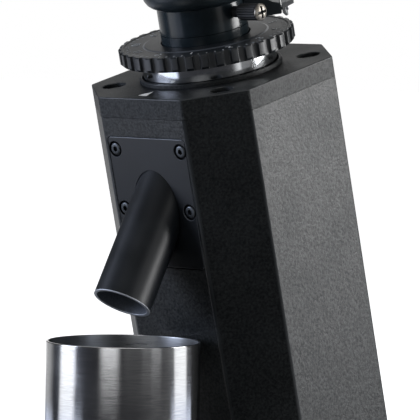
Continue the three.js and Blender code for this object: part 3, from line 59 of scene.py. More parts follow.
ROUNDING_STEPS = 4  # facets of a rounding in a lathe profile
WELD = 0.002  # points of a new shape closer than this are one
NODE_WELD = 0.005  # the same for the loose triangles of a CAD node
FLAT_ENOUGH = math.radians(0.5)
SHARP = math.radians(32)  # edges sharper than this stay crisp in the shading


def srgb(text):
    """Turns a hex colour such as "#1c1f22" into linear red, green, blue and alpha."""
    parts = [int(text[i : i + 2], 16) / 255 for i in (1, 3, 5)]
    return (*[p / 12.92 if p <= 0.04045 else ((p + 0.055) / 1.055) ** 2.4 for p in parts], 1)


def add(tree, kind, inputs=None, **settings):
    """Adds a node, sets its properties, then links or sets its inputs."""
    node = tree.nodes.new(kind)
    for name, value in settings.items():
        setattr(node, name, value)
    for key, value in (inputs or {}).items():
        if isinstance(value, bpy.types.NodeSocket):
            tree.links.new(value, node.inputs[key])
        else:
            node.inputs[key].default_value = value
    return node


def at(x, y, z):
    """The matrix that moves a shape to a place."""
    return Matrix.Translation((x, y, z))


def turned(degrees, axis):
    """The matrix that turns a shape about an axis through the origin."""
    return Matrix.Rotation(math.radians(degrees), 4, axis)


def moved(bm, matrix):
    bm.transform(matrix)
    return bm


def climb(edge):
    """How far an edge rises between its ends."""
    return abs(edge.verts[0].co.z - edge.verts[1].co.z)


def lower_end(edge):
    return min(vert.co.z for vert in edge.verts)


def tidy(bm):
    """Closes seams and turns every face outwards."""
    bmesh.ops.remove_doubles(bm, verts=bm.verts, dist=WELD)
    bmesh.ops.recalc_face_normals(bm, faces=bm.faces)
    return bm


def lathe(profile, segments=128, closed=False):
    """Spins a profile of (radius, height[, rounding]) round Z; an open one ends on the axis."""
    bm = bmesh.new()
    verts = [bm.verts.new((point[0], 0, point[1])) for point in profile]
    pairs = list(zip(verts, verts[1:]))
    if closed:
        pairs.append((verts[-1], verts[0]))
    for pair in pairs:
        bm.edges.new(pair)
    for vert, point in zip(verts, profile):
        if len(point) > 2:
            bmesh.ops.bevel(
                bm, geom=[vert], offset=point[2], offset_type="OFFSET", segments=ROUNDING_STEPS,
                profile=0.5, affect="VERTICES", material=-1,
            )
    bmesh.ops.spin(
        bm, geom=bm.verts[:] + bm.edges[:], cent=(0, 0, 0), axis=(0, 0, 1),
        angle=FULL, steps=segments, use_merge=True,
    )
    return tidy(bm)


def prism(points, bottom, top):
    """A straight prism on an outline in the XY plane."""
    bm = bmesh.new()
    face = bm.faces.new([bm.verts.new((x, y, bottom)) for x, y in points])
    lifted = bmesh.ops.extrude_face_region(bm, geom=[face])["geom"]
    verts = [item for item in lifted if isinstance(item, bmesh.types.BMVert)]
    bmesh.ops.translate(bm, verts=verts, vec=(0, 0, top - bottom))
    return tidy(bm)


def block(width, depth, bottom, top):
    """A sharp-edged block centred on Z."""
    x, y = width / 2, depth / 2
    return prism([(-x, -y), (x, -y), (x, y), (-x, y)], bottom, top)


def rounded_block(width, depth, radius, bottom, top, rounding):
    """A block with rounded upright corners and a softened top edge."""
    bm = block(width, depth, bottom, top)
    upright = [edge for edge in bm.edges if climb(edge) > 1e-4]
    bmesh.ops.bevel(
        bm, geom=upright, offset=radius, offset_type="OFFSET", segments=8,
        profile=0.5, affect="EDGES", material=-1,
    )
    rim = [edge for edge in bm.edges if lower_end(edge) > top - 1e-4]
    bmesh.ops.bevel(
        bm, geom=rim, offset=rounding, offset_type="OFFSET", segments=3,
        profile=0.5, affect="EDGES", material=-1,
    )
    return bm


def cylinder(radius, bottom, top, segments=64):
    """A straight pin, or the tool for a round hole."""
    bm = bmesh.new()
    bmesh.ops.create_cone(
        bm, cap_ends=True, segments=segments, radius1=radius, radius2=radius, depth=top - bottom,
        matrix=at(0, 0, (top + bottom) / 2),
    )
    return bm


def together(*shapes):
    """Puts shapes that stay apart into one."""
    whole = bmesh.new()
    for shape in shapes:
        mesh = bpy.data.meshes.new("part")
        shape.to_mesh(mesh)
        whole.from_mesh(mesh)
        bpy.data.meshes.remove(mesh)
        shape.free()
    return whole


def evaluated_shape(obj):
    """An object's shape as its modifiers or its text make it."""
    finished = obj.evaluated_get(bpy.context.evaluated_depsgraph_get())
    mesh = bpy.data.meshes.new_from_object(finished)
    bm = bmesh.new()
    bm.from_mesh(mesh)
    bpy.data.meshes.remove(mesh)
    return bm


def carve(body, tool, operation="DIFFERENCE"):
    """Cuts the tool out of a closed shape, or joins the two, and returns the result."""
    held = []
    for shape in (body, tool):
        mesh = bpy.data.meshes.new("carve")
        shape.to_mesh(mesh)
        shape.free()
        held.append(bpy.data.objects.new("carve", mesh))
        scene.collection.objects.link(held[-1])
    modifier = held[0].modifiers.new("carve", "BOOLEAN")
    modifier.operation = operation
    modifier.solver = "EXACT"
    modifier.object = held[1]
    bm = evaluated_shape(held[0])
    for obj in held:
        mesh = obj.data
        bpy.data.objects.remove(obj)
        bpy.data.meshes.remove(mesh)
    return bm


def soften(bm, offset, angle, segments=2, where=lambda edge: True):
    """Bevels the edges that are sharper than an angle, where a test says so."""
    edges = [
        edge for edge in bm.edges
        if edge.is_manifold and edge.calc_face_angle(0) > math.radians(angle) and where(edge)
    ]
    bmesh.ops.bevel(
        bm, geom=edges, offset=offset, offset_type="OFFSET", segments=segments,
        profile=0.5, affect="EDGES", clamp_overlap=True, material=-1,
    )
    return bm


def mark_faces(bm, test, index=1):
    """Gives the faces that pass a test another of the piece's finishes."""
    bm.normal_update()
    for face in bm.faces:
        if test(face):
            face.material_index = index
    return bm


def middle_radius(face):
    return face.calc_center_median().xy.length


def on_bevel(face):
    """True on the slanting strips round a plate's or a bore's edge."""
    return 0.12 < abs(face.normal.z) < 0.93


def piece(name, bm, place, body, replaced, slot, *finishes):
    """Makes the object, smooth up to an angle, hangs it on the body it rides on and hides the CAD
    part it replaces.
    """
    bm.transform(place)
    mesh = bpy.data.meshes.new(name)
    bm.to_mesh(mesh)
    bm.free()
    mesh.shade_smooth()
    mesh.set_sharp_from_angle(angle=SHARP)
    obj = bpy.data.objects.new(name, mesh)
    scene.collection.objects.link(obj)
    for coat in finishes:
        mesh.materials.append(coat)
    flatten = obj.modifiers.new("flat_faces", "WEIGHTED_NORMAL")
    flatten.keep_sharp = True
    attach(obj, body)
    if replaced:
        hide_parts(replaced)


def node_copy(name):
    """A merged copy of a CAD node's solid, in millimetres, to be refined."""
    bm = bmesh.new()
    bm.from_mesh(nodes[name].data)
    bm.transform(Matrix.Scale(1 / MM, 4))
    bmesh.ops.remove_doubles(bm, verts=bm.verts, dist=NODE_WELD)
    bmesh.ops.dissolve_limit(
        bm, angle_limit=FLAT_ENOUGH, use_dissolve_boundaries=False, verts=bm.verts, edges=bm.edges,
    )
    return bm


# Materials

# How much finer a pattern runs upwards than across, which draws it out into level lines: those
# of the lathe, of the brush, between stacked sheets and between turns of wire
LATHE_LINES, BRUSH_LINES = (1, 1, 22), (1, 1, 14)
SHEETS, WIRE = (0.2, 0.2, 3), (0.3, 0.3, 2)


def finish(name, light, dark, roughness, grain, depth, metallic=0.0, cloud=25.0, spread=0.05,
           stretch=(1, 1, 1), specular=0.5, sparkle=0.0):
    """A surface with grain (mm across, mm deep), slow clouds of colour and uneven gloss.

    The real grain of the smooth finishes is finer; it is drawn coarse enough to show.
    """
    material = bpy.data.materials.new(name)
    material.use_nodes = True
    tree = material.node_tree
    shader = tree.nodes["Principled BSDF"]
    place = add(tree, "ShaderNodeTexCoord").outputs["Object"]
    mapped = add(tree, "ShaderNodeMapping", {"Vector": place, "Scale": stretch})
    fine = add(tree, "ShaderNodeTexNoise", {
        "Vector": mapped.outputs[0], "Scale": 1 / (grain * MM), "Detail": 3.0, "Roughness": 0.6,
    })
    slow = add(tree, "ShaderNodeTexNoise",
               {"Vector": place, "Scale": 1 / (cloud * MM), "Detail": 4.0})
    both = add(tree, "ShaderNodeMath", {0: fine.outputs[0], 1: slow.outputs[0]}, operation="ADD")
    # Most of the two noises' sum lies between these ends
    mixed = {"Value": both.outputs[0], "From Min": 0.7, "From Max": 1.3}
    share = add(tree, "ShaderNodeMapRange", mixed)
    colour = add(tree, "ShaderNodeMix", {0: share.outputs[0], 6: srgb(dark), 7: srgb(light)},
                 data_type="RGBA")
    gloss = add(tree, "ShaderNodeMapRange",
                {**mixed, "To Min": roughness - spread, "To Max": roughness + spread})
    bump = add(tree, "ShaderNodeBump",
               {"Height": fine.outputs[0], "Strength": 1.0, "Distance": depth * MM})
    shader.inputs["Metallic"].default_value = metallic
    shader.inputs["Specular IOR Level"].default_value = specular
    if sparkle:
        sheen = add(tree, "ShaderNodeMapRange", {
            "Value": fine.outputs[0], "From Min": 0.35, "From Max": 0.65,
            "To Min": specular - sparkle, "To Max": specular + sparkle,
        })
        tree.links.new(sheen.outputs[0], shader.inputs["Specular IOR Level"])
    tree.links.new(colour.outputs[2], shader.inputs["Base Color"])
    tree.links.new(gloss.outputs[0], shader.inputs["Roughness"])
    tree.links.new(bump.outputs[0], shader.inputs["Normal"])
    return material


# Fine-textured powder coat on aluminium: a dark satin skin whose grain sparkles at a low angle
# (the grain is drawn coarser than the real 0.3 mm, so that it shows)
powder_coat = finish("textured_powder_coat", "#161b1d", "#0a0e10", 0.42, grain=1.3, depth=0.14,
                     spread=0.06, specular=0.42, sparkle=0.14)
# The same on the cap, a little duller
cap_coat = finish("cap_powder_coat", "#161b1d", "#0a0e10", 0.52, grain=1.3, depth=0.14,
                  spread=0.06, specular=0.38, sparkle=0.14)
# The same coat on the column's and cap's rounded edges, smoother and paler: a painted highlight
# along them
painted_highlight_coat = finish("powder_coat_painted_highlight", "#272b2e", "#171b1d", 0.38, grain=0.8, depth=0.03,
                     specular=0.42)
# Hard anodised aluminium: deeper black, smoother, with a soft broad sheen
anodised = finish("hard_anodised_aluminium", "#191d22", "#0f1317", 0.36, grain=0.4, depth=0.012,
                  cloud=14, specular=0.4)
# The dial's rim: the same layer over a coarser turned surface, so that its lands glow evenly
dial_rim = finish("turned_anodised_rim", "#1b2025", "#11161a", 0.42, grain=0.7, depth=0.04,
                  specular=0.75)
# The dial's face: the same layer over a bead-blasted surface, greyer and without a sheen
blasted = finish("blasted_anodised_face", "#1d2124", "#14181b", 0.42, grain=0.6, depth=0.03,
                 specular=0.22)
# Edges of plate and dial, and the wall of the spout's hole: paler, with a hint of the metal, a
# painted highlight
painted_highlight_edge = finish("anodised_painted_highlight", "#6a6e74", "#44484d", 0.35, metallic=0.5, grain=0.4,
                     depth=0.01)
# The spout's bore, painted grey: painted light inside the shaded tube
painted_light_bore = finish("anodised_bore_painted_light", "#6c727a", "#4a4f56", 0.5, grain=0.8, depth=0.03)
# The spout's cut end: aluminium where the turning tool took the black layer off, silky; its pale
# colour is partly a painted highlight
bare_edge_and_highlight = finish("turned_aluminium_edge_and_highlight", "#d4d8de", "#b2b6bc", 0.55, metallic=0.6, grain=0.3,
                   depth=0.01)
# Injection-moulded gloss ABS: near-black with sharp reflections and a hint of waviness
gloss_abs = finish("gloss_moulded_abs", "#222b30", "#1a2226", 0.18, grain=6, depth=0.02,
                   spread=0.03, specular=0.32)
# The same plastic out of a satin mould: a soft sheen along the hopper's walls
satin_abs = finish("satin_moulded_abs", "#283136", "#1e262a", 0.36, grain=1.0, depth=0.02,
                   specular=0.4)
# And out of a sparked mould: an even, dull black on switch, inlet and knob
matt_abs = finish("matt_moulded_abs", "#1f2123", "#161819", 0.6, grain=0.5, depth=0.03)
# Chromium plate: mirror-bright, cold, with faint polishing haze
chrome = finish("chromium_plate", "#e6e8ea", "#c9ccd0", 0.1, metallic=1, grain=3, depth=0.002,
                spread=0.03)
# Polished stainless steel: grey mirror with very fine lathe lines round the wall
polished = finish("polished_stainless_steel", "#c6c7c8", "#aaabad", 0.13, metallic=1, grain=9,
                  depth=0.005, spread=0.03, stretch=LATHE_LINES)
# The cup's inside as the press left it: duller, with the same lines
drawn = finish("deep_drawn_bore", "#b3b5b7", "#999b9e", 0.31, metallic=1, grain=9, depth=0.012,
               stretch=LATHE_LINES)
# Brushed stainless steel: a soft grey sheen drawn out across the brush marks
brushed = finish("brushed_stainless_steel", "#a9acaf", "#85888b", 0.32, metallic=1, grain=4,
                 depth=0.006, stretch=BRUSH_LINES)
# Tumbled sheet metal: grey, soft and even from every side
tumbled = finish("tumbled_sheet_metal", "#a2a4a6", "#86888a", 0.5, metallic=0.45, grain=0.7,
                 depth=0.02)
# Nickel-plated screw head, a little warm and worn
nickel = finish("worn_nickel_plate", "#a9a49b", "#4c4843", 0.42, metallic=1, grain=1.0, depth=0.05,
                cloud=3)
# Ground tool steel of the burrs: cold grey, cleanly metallic
tool_steel = finish("ground_tool_steel", "#8a8e92", "#6c7074", 0.38, metallic=1, grain=1.5,
                    depth=0.01)
# Black oxide on the steel screws: dark grey that still gleams like metal
black_oxide = finish("black_oxide_steel", "#5c6064", "#34373a", 0.36, metallic=0.85, grain=0.5,
                     depth=0.01)
# Cast aluminium of motor and chamber: pale, rough and grainy
cast_metal = finish("cast_aluminium", "#a6a9ac", "#83868a", 0.55, metallic=1, grain=1.1, depth=0.08)
# Stacked motor sheets: dull grey with fine level lines
laminations = finish("stacked_laminations", "#6f7275", "#4c4f52", 0.5, metallic=1, grain=0.6,
                     depth=0.05, stretch=SHEETS)
# Enamelled copper wire: warm and glossy, in fine turns
copper = finish("enamelled_copper_wire", "#b5713f", "#8c5028", 0.35, metallic=1, grain=0.8,
                depth=0.12, stretch=WIRE)
# Moulded nitrile rubber of feet and mat: deep, dull black
rubber = finish("moulded_nitrile_rubber", "#191b1c", "#111213", 0.8, grain=0.5, depth=0.04)
# Pad-printed grey scale, half worn into the black layer
scale_paint = finish("pad_printed_grey", "#b9bcbe", "#8c9092", 0.6, grain=0.5, depth=0.01)
# Screen-printed white of the index arrow and the switch marks: flat and clear
mark_paint = finish("screen_printed_white", "#efefea", "#dcdcd6", 0.55, grain=0.5, depth=0.01)
# Solder mask on the circuit board: a glossy dark green
board_mask = finish("green_solder_mask", "#23634a", "#174a35", 0.4, grain=1.2, depth=0.02)

slot_finish = {
    "powder_coat": powder_coat, "cap_coat": cap_coat, "mark_white": mark_paint, "rubber": rubber,
    "polished_steel": polished, "black_anodised": anodised, "cast_aluminium": cast_metal,
    "brushed_steel": brushed, "chrome": chrome, "tool_steel": tool_steel,
    "black_steel": black_oxide, "laminations": laminations, "copper": copper,
    "matt_black": matt_abs, "gloss_black": gloss_abs, "board_green": board_mask,
}
for part in frame["record"]["subparts"]:
    for holder in nodes[part["node"]].material_slots:
        holder.material = slot_finish[part["material_slot"]]

# Column and cap

# Half the column's width and depth, and the corners where its slanting faces begin
COLUMN_X, COLUMN_Y = 54.0, 55.7
FLAT_X, FLAT_Y = 28.2, 33.0
SLANT_TURN = math.degrees(math.atan2(COLUMN_Y - FLAT_Y, COLUMN_X - FLAT_X))
OUTLINE = [(FLAT_X, -COLUMN_Y), (COLUMN_X, -FLAT_Y), (COLUMN_X, FLAT_Y), (FLAT_X, COLUMN_Y)]
OUTLINE += [(-x, -y) for x, y in OUTLINE]
EDGE_ROUNDING = 1.1
CAP_BOTTOM, CAP_HOLE = -10.45, 35.4
CAP_SCREW_X, CAP_SCREW_Y, CAP_SCREW_SEAT = 37, 34, -6.9


def outer_upright(edge):
    """True on the long outer edges of the column."""
    a, b = (v.co for v in edge.verts)
    beside = abs(a.x) > COLUMN_X - 1
    before_or_behind = abs(a.x) > FLAT_X - 0.7 and abs(a.y) > COLUMN_Y - 0.7
    return climb(edge) > 20 and abs(a.x - b.x) < 0.5 and (beside or before_or_behind)


def on_upright_bevel(face):
    """True on the rounded strips between the column's flat sides."""
    turn = math.degrees(math.atan2(abs(face.normal.x), abs(face.normal.y)))
    outside = abs(face.normal.z) < 0.05 and middle_radius(face) > 50
    return outside and min(abs(turn - side_turn) for side_turn in (0, SLANT_TURN, 90)) > 4


# The column keeps the CAD body's slots and openings and gets rounded upright edges
shell = moved(node_copy("column_body"), TOWER.inverted() @ UPRIGHT)
soften(shell, EDGE_ROUNDING, 20, segments=3, where=outer_upright)
# The rounded upright strips get the paler coat, a painted highlight
mark_faces(shell, on_upright_bevel)
piece("column_shell", shell, TOWER, "grinder", "column_body", "powder_coat",
      powder_coat, painted_highlight_coat)

# The cap: a plate with a raised lip round its hole and a deep hole for each screw
cap = prism(OUTLINE, CAP_BOTTOM, 0)
soften(cap, EDGE_ROUNDING, 20, segments=3, where=lambda edge: climb(edge) > 5)
soften(cap, 0.5, 60, segments=3, where=lambda edge: lower_end(edge) > -1)
cap_lip = lathe([
    (34.0, -6), (36.9, -6), (36.9, 2.1, 0.5), (35.8, 2.1, 0.2), (35.6, 1.9), (34.0, 1.9),
], closed=True)
cap = carve(cap, cap_lip, "UNION")
cap_screw_places = [(x * CAP_SCREW_X, y * CAP_SCREW_Y) for x, y in QUARTERS]
cuts = [cylinder(CAP_HOLE, -14, 5, 128)]
for x, y in cap_screw_places:
    counterbore = lathe([
        (0, -14), (3.3, -14), (3.3, -7.2), (5.9, -7.2), (5.9, -0.35), (6.3, 0.05), (6.3, 3), (0, 3),
    ], 64)
    cuts.append(moved(counterbore, at(x, y, 0)))
# The printed arrow that the dial's scale is read at lies in a shallow recess of its own form
INDEX_TURN = turned(-3.2, "Z")
cuts.append(moved(prism([(-3.4, -50.2), (3.4, -50.2), (0, -41.3)], -0.8, 2), INDEX_TURN))
# The slanting strips round the cap's edges and holes get the paler coat, a painted highlight
cap = mark_faces(carve(cap, together(*cuts)), on_bevel)
piece("cap_plate", cap, TOWER, "grinder", "top_cap", "cap_coat", cap_coat, painted_highlight_coat)
index = soften(prism([(-3.1, -49.9), (3.1, -49.9), (0, -41.9)], -0.5, 0), 0.12, 60)
piece("index_arrow", moved(index, INDEX_TURN), TOWER, "grinder", "index_mark", "mark_white",
      mark_paint)


def socket_screw(radius, height, shank, length, key, key_depth, rounding):
    """A socket-head screw, head up, with the underside of its head at zero."""
    head = lathe([
        (0, -length), (shank, -length, 0.3), (shank, 0), (radius, 0, 0.2),
        (radius, height, rounding), (0, height),
    ], 64)
    return carve(head, cylinder(key / math.sqrt(3), height - key_depth, height + 2, 6))


for number, (x, y) in enumerate(cap_screw_places, 1):
    screw = socket_screw(radius=5, height=5, shank=3, length=26, key=5, key_depth=2.6, rounding=0.6)
    piece(f"cap_bolt_{number}", moved(screw, at(x, y, CAP_SCREW_SEAT)), TOWER, "grinder",
          f"cap_screw_{number}", "black_steel", black_oxide)

# Spout plate and spout

PLATE_TOP, PLATE_HEIGHT, PLATE_WIDTH, PLATE_THICKNESS = -20.4, 68.0, 52.7, 5
PLATE_SCREW_X, PLATE_SCREW_ROWS, PLATE_SCREW_SEAT = 22.2, (-27.0, -58.4), -2.7
SPOUT_ENTRY, SPOUT_SLANT, SPOUT_END = -59.2, 44, -51.1
SPOUT_HOLE, SPOUT_OUTER, SPOUT_BORE = 15.2, 14.85, 13.35
FACE_FRONT = at(0, -COLUMN_Y, 0) @ turned(90, "X")
SPOUT_AXIS = at(0, -COLUMN_Y, SPOUT_ENTRY) @ turned(-SPOUT_SLANT, "X")
ONTO_SPOUT_AXIS = SPOUT_AXIS.inverted()


def in_spout_hole(face):
    """True on the wall of the slanting hole through the plate."""
    radius = (ONTO_SPOUT_AXIS @ face.calc_center_median()).xy.length
    return abs(radius - SPOUT_HOLE) < 0.1


# The plate is made lying down, face up, and then let into the column's front
plate = rounded_block(
    PLATE_WIDTH, PLATE_HEIGHT, radius=2.5, bottom=-PLATE_THICKNESS, top=0, rounding=0.6,
)
moved(plate, at(0, PLATE_TOP - PLATE_HEIGHT / 2, 0))
plate_screw_places = [(side * PLATE_SCREW_X, z) for z in PLATE_SCREW_ROWS for side in (-1, 1)]
cuts = []
for x, z in plate_screw_places:
    counterbore = lathe([
        (0, -8), (2.3, -8), (2.3, -3), (4.1, -3), (4.1, -0.3), (4.4, 0.05), (4.4, 3), (0, 3),
    ], 48)
    cuts.append(moved(counterbore, at(x, z, 0)))
# The slanting strips round the plate's edges and screw holes get the paler finish, a painted
# highlight
plate = mark_faces(carve(plate, together(*cuts)), on_bevel)
plate = carve(moved(plate, FACE_FRONT), moved(cylinder(SPOUT_HOLE, -30, 30, 96), SPOUT_AXIS))
# So does the wall of the spout's hole, a painted light ring round the tube's foot
mark_faces(plate, in_spout_hole)
piece("front_plate", plate, TOWER, "grinder", "spout_plate", "black_anodised",
      anodised, painted_highlight_edge)
for number, (x, z) in enumerate(plate_screw_places, 1):
    screw = socket_screw(radius=3.3, height=2.6, shank=2, length=5, key=2.6, key_depth=1.6,
                         rounding=1.0)
    moved(screw, at(x, z, PLATE_SCREW_SEAT))
    piece(f"plate_bolt_{number}", moved(screw, FACE_FRONT), TOWER, "grinder",
          f"plate_screw_{number}", "black_steel", black_oxide)

# The spout's tube is cut off upright inside, just short of the plate's back
TUBE_DEPTH = 4.7
tube = lathe([
    (SPOUT_BORE, 60), (SPOUT_OUTER, 60), (SPOUT_OUTER, SPOUT_END), (SPOUT_BORE, SPOUT_END),
], closed=True)
# The bore's faces get the grey finish, painted light
mark_faces(tube, lambda face: middle_radius(face) < SPOUT_BORE + 0.15)
inside = prism([(-60, 0), (60, 0), (60, 120), (-60, 120)], -120, 60)
tube = carve(moved(tube, SPOUT_AXIS), moved(inside, at(0, TUBE_DEPTH - COLUMN_Y, 0)))
piece("spout_pipe", tube, TOWER, "grinder", "spout_tube", "black_anodised", anodised, painted_light_bore)
# The cut end is a ring of its own, so that bare metal and black layer part along a clean line
LIP_OUTER, LIP_INNER, LIP_END = SPOUT_OUTER + 0.05, SPOUT_BORE - 0.05, SPOUT_END - 0.4
spout_lip = lathe([
    (LIP_INNER, SPOUT_END), (LIP_OUTER, SPOUT_END), (LIP_OUTER, LIP_END, 0.15),
    (LIP_INNER, LIP_END, 0.15),
], closed=True)
# Its pale finish is partly a painted highlight round the mouth
piece("spout_lip", moved(spout_lip, SPOUT_AXIS), TOWER, "grinder", None, "black_anodised",
      bare_edge_and_highlight)

# Carrier ring, dial and neck

# The burr carrier's bright ring, of which the wall shows under the dial
ring = lathe([
    (17, -29), (34.5, -29, 0.5), (34.5, 9.2, 0.4), (31.5, 9.2, 0.4), (31.5, -21), (21.3, -21),
    (21.3, -25), (17, -25),
], 160, closed=True)
piece("carrier_ring", ring, TOWER, "carrier", "burr_carrier", "chrome", chrome)

DIAL_BOTTOM, DIAL_TOP, DIAL_RADIUS = 10.2, 18.0, 45.3
FACE_INNER, FACE_OUTER = 31.6, 32.6  # the step from the dial's collar down to its face
LANDS, STEPS_PER_LAND = 36, 18
# From the middle of a notch (0) to the middle of a land (1): floor, flank, then the hardly
# crowned land
FLANK_START, LAND_START = 0.38, 0.47
NOTCH_DEPTH, FLANK_DEPTH, CROWN = 1.75, 1.5, 0.15


def set_back(turn):
    """How far the dial's rim stands back from its full radius at a turn."""
    share = abs((turn / FULL * LANDS) % 1.0 - 0.5) * 2
    if share > LAND_START:
        return CROWN * ((1 - share) / (1 - LAND_START)) ** 2
    return NOTCH_DEPTH if share < FLANK_START else FLANK_DEPTH


def on_dial_face(face):
    return face.normal.z > 0.5 and face.calc_center_median().z > 17


def on_dial_step(face):
    return face.normal.z > 0.5 and FACE_INNER < middle_radius(face) < FACE_OUTER


# The dial is turned round and its rim then pulled in at the notches
dial = lathe([
    (23.1, 2.2), (31.2, 2.2, 0.3), (31.2, DIAL_BOTTOM), (43.9, DIAL_BOTTOM, 0.2),
    (DIAL_RADIUS, 11.6), (DIAL_RADIUS, 17.5), (44.8, DIAL_TOP), (43.2, DIAL_TOP),
    (42.6, DIAL_TOP, 0.3), (42.3, 17.7, 0.2), (FACE_OUTER, 17.55), (FACE_INNER, DIAL_TOP, 0.2),
    (23.1, DIAL_TOP, 0.4),
], LANDS * STEPS_PER_LAND, closed=True)
for vert in dial.verts:
    radius = math.hypot(vert.co.x, vert.co.y)
    allowed = DIAL_RADIUS - set_back(math.atan2(vert.co.y, vert.co.x) + FULL)
    if radius > allowed:
        vert.co.x *= allowed / radius
        vert.co.y *= allowed / radius
mark_faces(dial, on_dial_face)
# The step down to the dial's face gets the paler finish, a painted highlight round it
mark_faces(dial, on_dial_step, 2)
piece("grind_dial", dial, TOWER, "dial", "adjusting_dial", "black_anodised",
      dial_rim, blasted, painted_highlight_edge)


def lettering(text, size, thickness):
    """A short text as a closed shape in the XY plane, centred on the origin."""
    curve = bpy.data.curves.new("lettering", "FONT")
    curve.body = text
    curve.size = size
    curve.extrude = thickness / 2
    curve.align_x, curve.align_y = "CENTER", "CENTER"
    holder = bpy.data.objects.new("lettering", curve)
    scene.collection.objects.link(holder)
    bm = evaluated_shape(holder)
    bpy.data.objects.remove(holder)
    bpy.data.curves.remove(curve)
    return tidy(bm)


# The dial's scale: a number every 30 degrees and short ticks every 6 degrees between them
SCALE_STEPS, STEPS_PER_NUMBER = 60, 5
FIGURE_SIZE, FIGURE_RADIUS = 6.4, 37.0
scale_marks = []
for step in range(SCALE_STEPS):
    if step % STEPS_PER_NUMBER:
        mark = prism([(-0.2, -41.6), (0.2, -41.6), (0.2, -39.8), (-0.2, -39.8)], 17.65, 17.76)
    else:
        figure = lettering(str(step // STEPS_PER_NUMBER), FIGURE_SIZE, 0.08)
        mark = moved(figure, at(0, -FIGURE_RADIUS, 17.72))
    scale_marks.append(moved(mark, Matrix.Rotation(FULL * step / SCALE_STEPS, 4, "Z")))
piece("dial_scale", together(*scale_marks), TOWER, "dial", None, "mark_white", scale_paint)

COLLAR = 22.6  # outer radius of the neck's wide part and of the hopper's skirt above it
neck = lathe([
    (18, -24.7), (21, -24.7), (21, -20.7), (29, -20.7, 0.5), (29, -17.7, 0.5), (COLLAR, -17.7),
    (COLLAR, 22.45, 0.1), (21, 22.45), (21, 35.9, 0.4), (18, 35.9, 0.4),
], closed=True)
piece("neck_tube", neck, TOWER, "carrier", "hopper_neck", "gloss_black", gloss_abs)

# Hopper, lid and thumb knob


def on_skirt(face):
    """True on the hopper's polished skirt and the seat inside it."""
    return middle_radius(face) < COLLAR + 0.4 and face.calc_center_median().z < 36.7


# The hopper: a flared bowl on a narrow skirt, with the arm that turns it
bowl = lathe([
    (21.3, 22.6, 0.2), (COLLAR, 22.6, 0.3), (COLLAR, 36.6, 0.6), (28.4, 37.4, 6.2),
    (31.5, 86.2, 0.7), (29.3, 86.2, 0.7), (27.0, 50.4, 1.0), (17.5, 38.4), (17.5, 36.2),
    (21.3, 36.2),
], closed=True)
ARM = turned(42, "Z")
ARM_SIDE = ARM @ turned(90, "X")
ARM_HALF = 6.5
arm = prism([
    (22.0, 24.8), (40.4, 24.8), (40.4, 30.4), (36.5, 31.4), (27.5, 37.6), (22.0, 37.6),
], -ARM_HALF, ARM_HALF)
soften(arm, 0.7, 20, segments=3, where=lambda edge: min(v.co.x for v in edge.verts) > 30)
hopper = mark_faces(carve(bowl, moved(arm, ARM_SIDE), "UNION"), on_skirt)
piece("bean_hopper", hopper, TOWER, "hopper", "hopper", "gloss_black", satin_abs, gloss_abs)

# The lid: a disc with a rim below it and a knob on a neck
lid = lathe([
    (0, 86.5), (26.5, 86.5), (26.5, 82.5), (28.5, 82.5), (28.5, 86.5), (31.5, 86.5, 0.3),
    (31.5, 91.5, 1.4), (6.5, 91.5, 1.2), (6.5, 97.0, 2.0), (9, 99.75, 1.2), (9, 102.5, 1.4),
    (0, 102.5),
])
piece("bean_lid", lid, TOWER, "lid", "hopper_lid", "gloss_black", gloss_abs)

# The thumb knob at the right of the neck: ribbed, with a cross-slotted screw in its end
GRIP_AXIS = at(0, 0, 31.2) @ turned(90, "Y")
GRIP_START, GRIP_SCREW_SEAT = 23.0, 39.4
RIBS, RIB_DEPTH, RIBBED_FROM = 16, 0.35, 3.5
grip = lathe([(0, 0), (2.9, 0), (2.9, 3.4, 0.6), (4.3, 4.2, 0.4), (4.3, 16.1, 0.4), (0, 16.1)])
for vert in grip.verts:
    radius = math.hypot(vert.co.x, vert.co.y)
    if radius > RIBBED_FROM:
        turn = math.atan2(vert.co.y, vert.co.x)
        groove = RIB_DEPTH * (0.5 - 0.5 * math.cos(RIBS * turn)) ** 2
        vert.co.xy = vert.co.xy * ((radius - groove) / radius)
piece("thumb_grip", moved(grip, GRIP_AXIS @ at(0, 0, GRIP_START)), TOWER, "thumb_knob",
      "lock_knob", "matt_black", matt_abs)
grip_screw = lathe([
    (0, -4), (1.3, -4), (1.3, 0), (4.4, 0, 0.2), (4.4, 0.8), (3.6, 1.4), (2, 1.68), (0, 1.7),
], 96)
cross = carve(block(6.4, 1.5, -1.2, 4), block(1.5, 6.4, -1.2, 4), "UNION")
grip_screw = carve(grip_screw, cross)
piece("grip_screw", moved(grip_screw, GRIP_AXIS @ at(0, 0, GRIP_SCREW_SEAT)), TOWER,
      "thumb_knob", "knob_screw", "polished_steel", nickel)

# A bent finger tab on the arm's end, with its screw
TAB_SCREW_AXIS = ARM @ at(0, 0, 26.6) @ turned(90, "Y")
TAB_SCREW_SEAT = 42.7
tab = prism([
    (40.7, 25.0), (42.2, 23.2), (43.6, 23.6), (42.6, 25.6), (42.6, 27.6), (47.2, 29.2),
    (47.2, 31.5), (40.7, 30.2),
], -ARM_HALF, ARM_HALF)
soften(tab, 0.4, 20, segments=3)
tab = carve(moved(tab, ARM_SIDE), moved(cylinder(1.4, 30, 50, 32), TAB_SCREW_AXIS))
piece("arm_tab", tab, TOWER, "hopper", "finger_tab", "brushed_steel", tumbled)
tab_screw = socket_screw(radius=1.7, height=1.3, shank=1.2, length=8, key=1.2, key_depth=0.7,
                         rounding=0.4)
moved(tab_screw, at(0, 0, TAB_SCREW_SEAT))
piece("arm_screw", moved(tab_screw, TAB_SCREW_AXIS), TOWER, "hopper", "tab_screw",
      "brushed_steel", brushed)

# Dosing cup, base, feet and mat

CUP_OUTER, CUP_INNER, CUP_RIM = 38.8, 37.6, 101.8
CUP_AXIS = at(0, -66.29, 0)


def in_cup(face):
    """True on the cup's inner wall and floor."""
    return middle_radius(face) < CUP_INNER + 0.05 and face.calc_center_median().z > 21


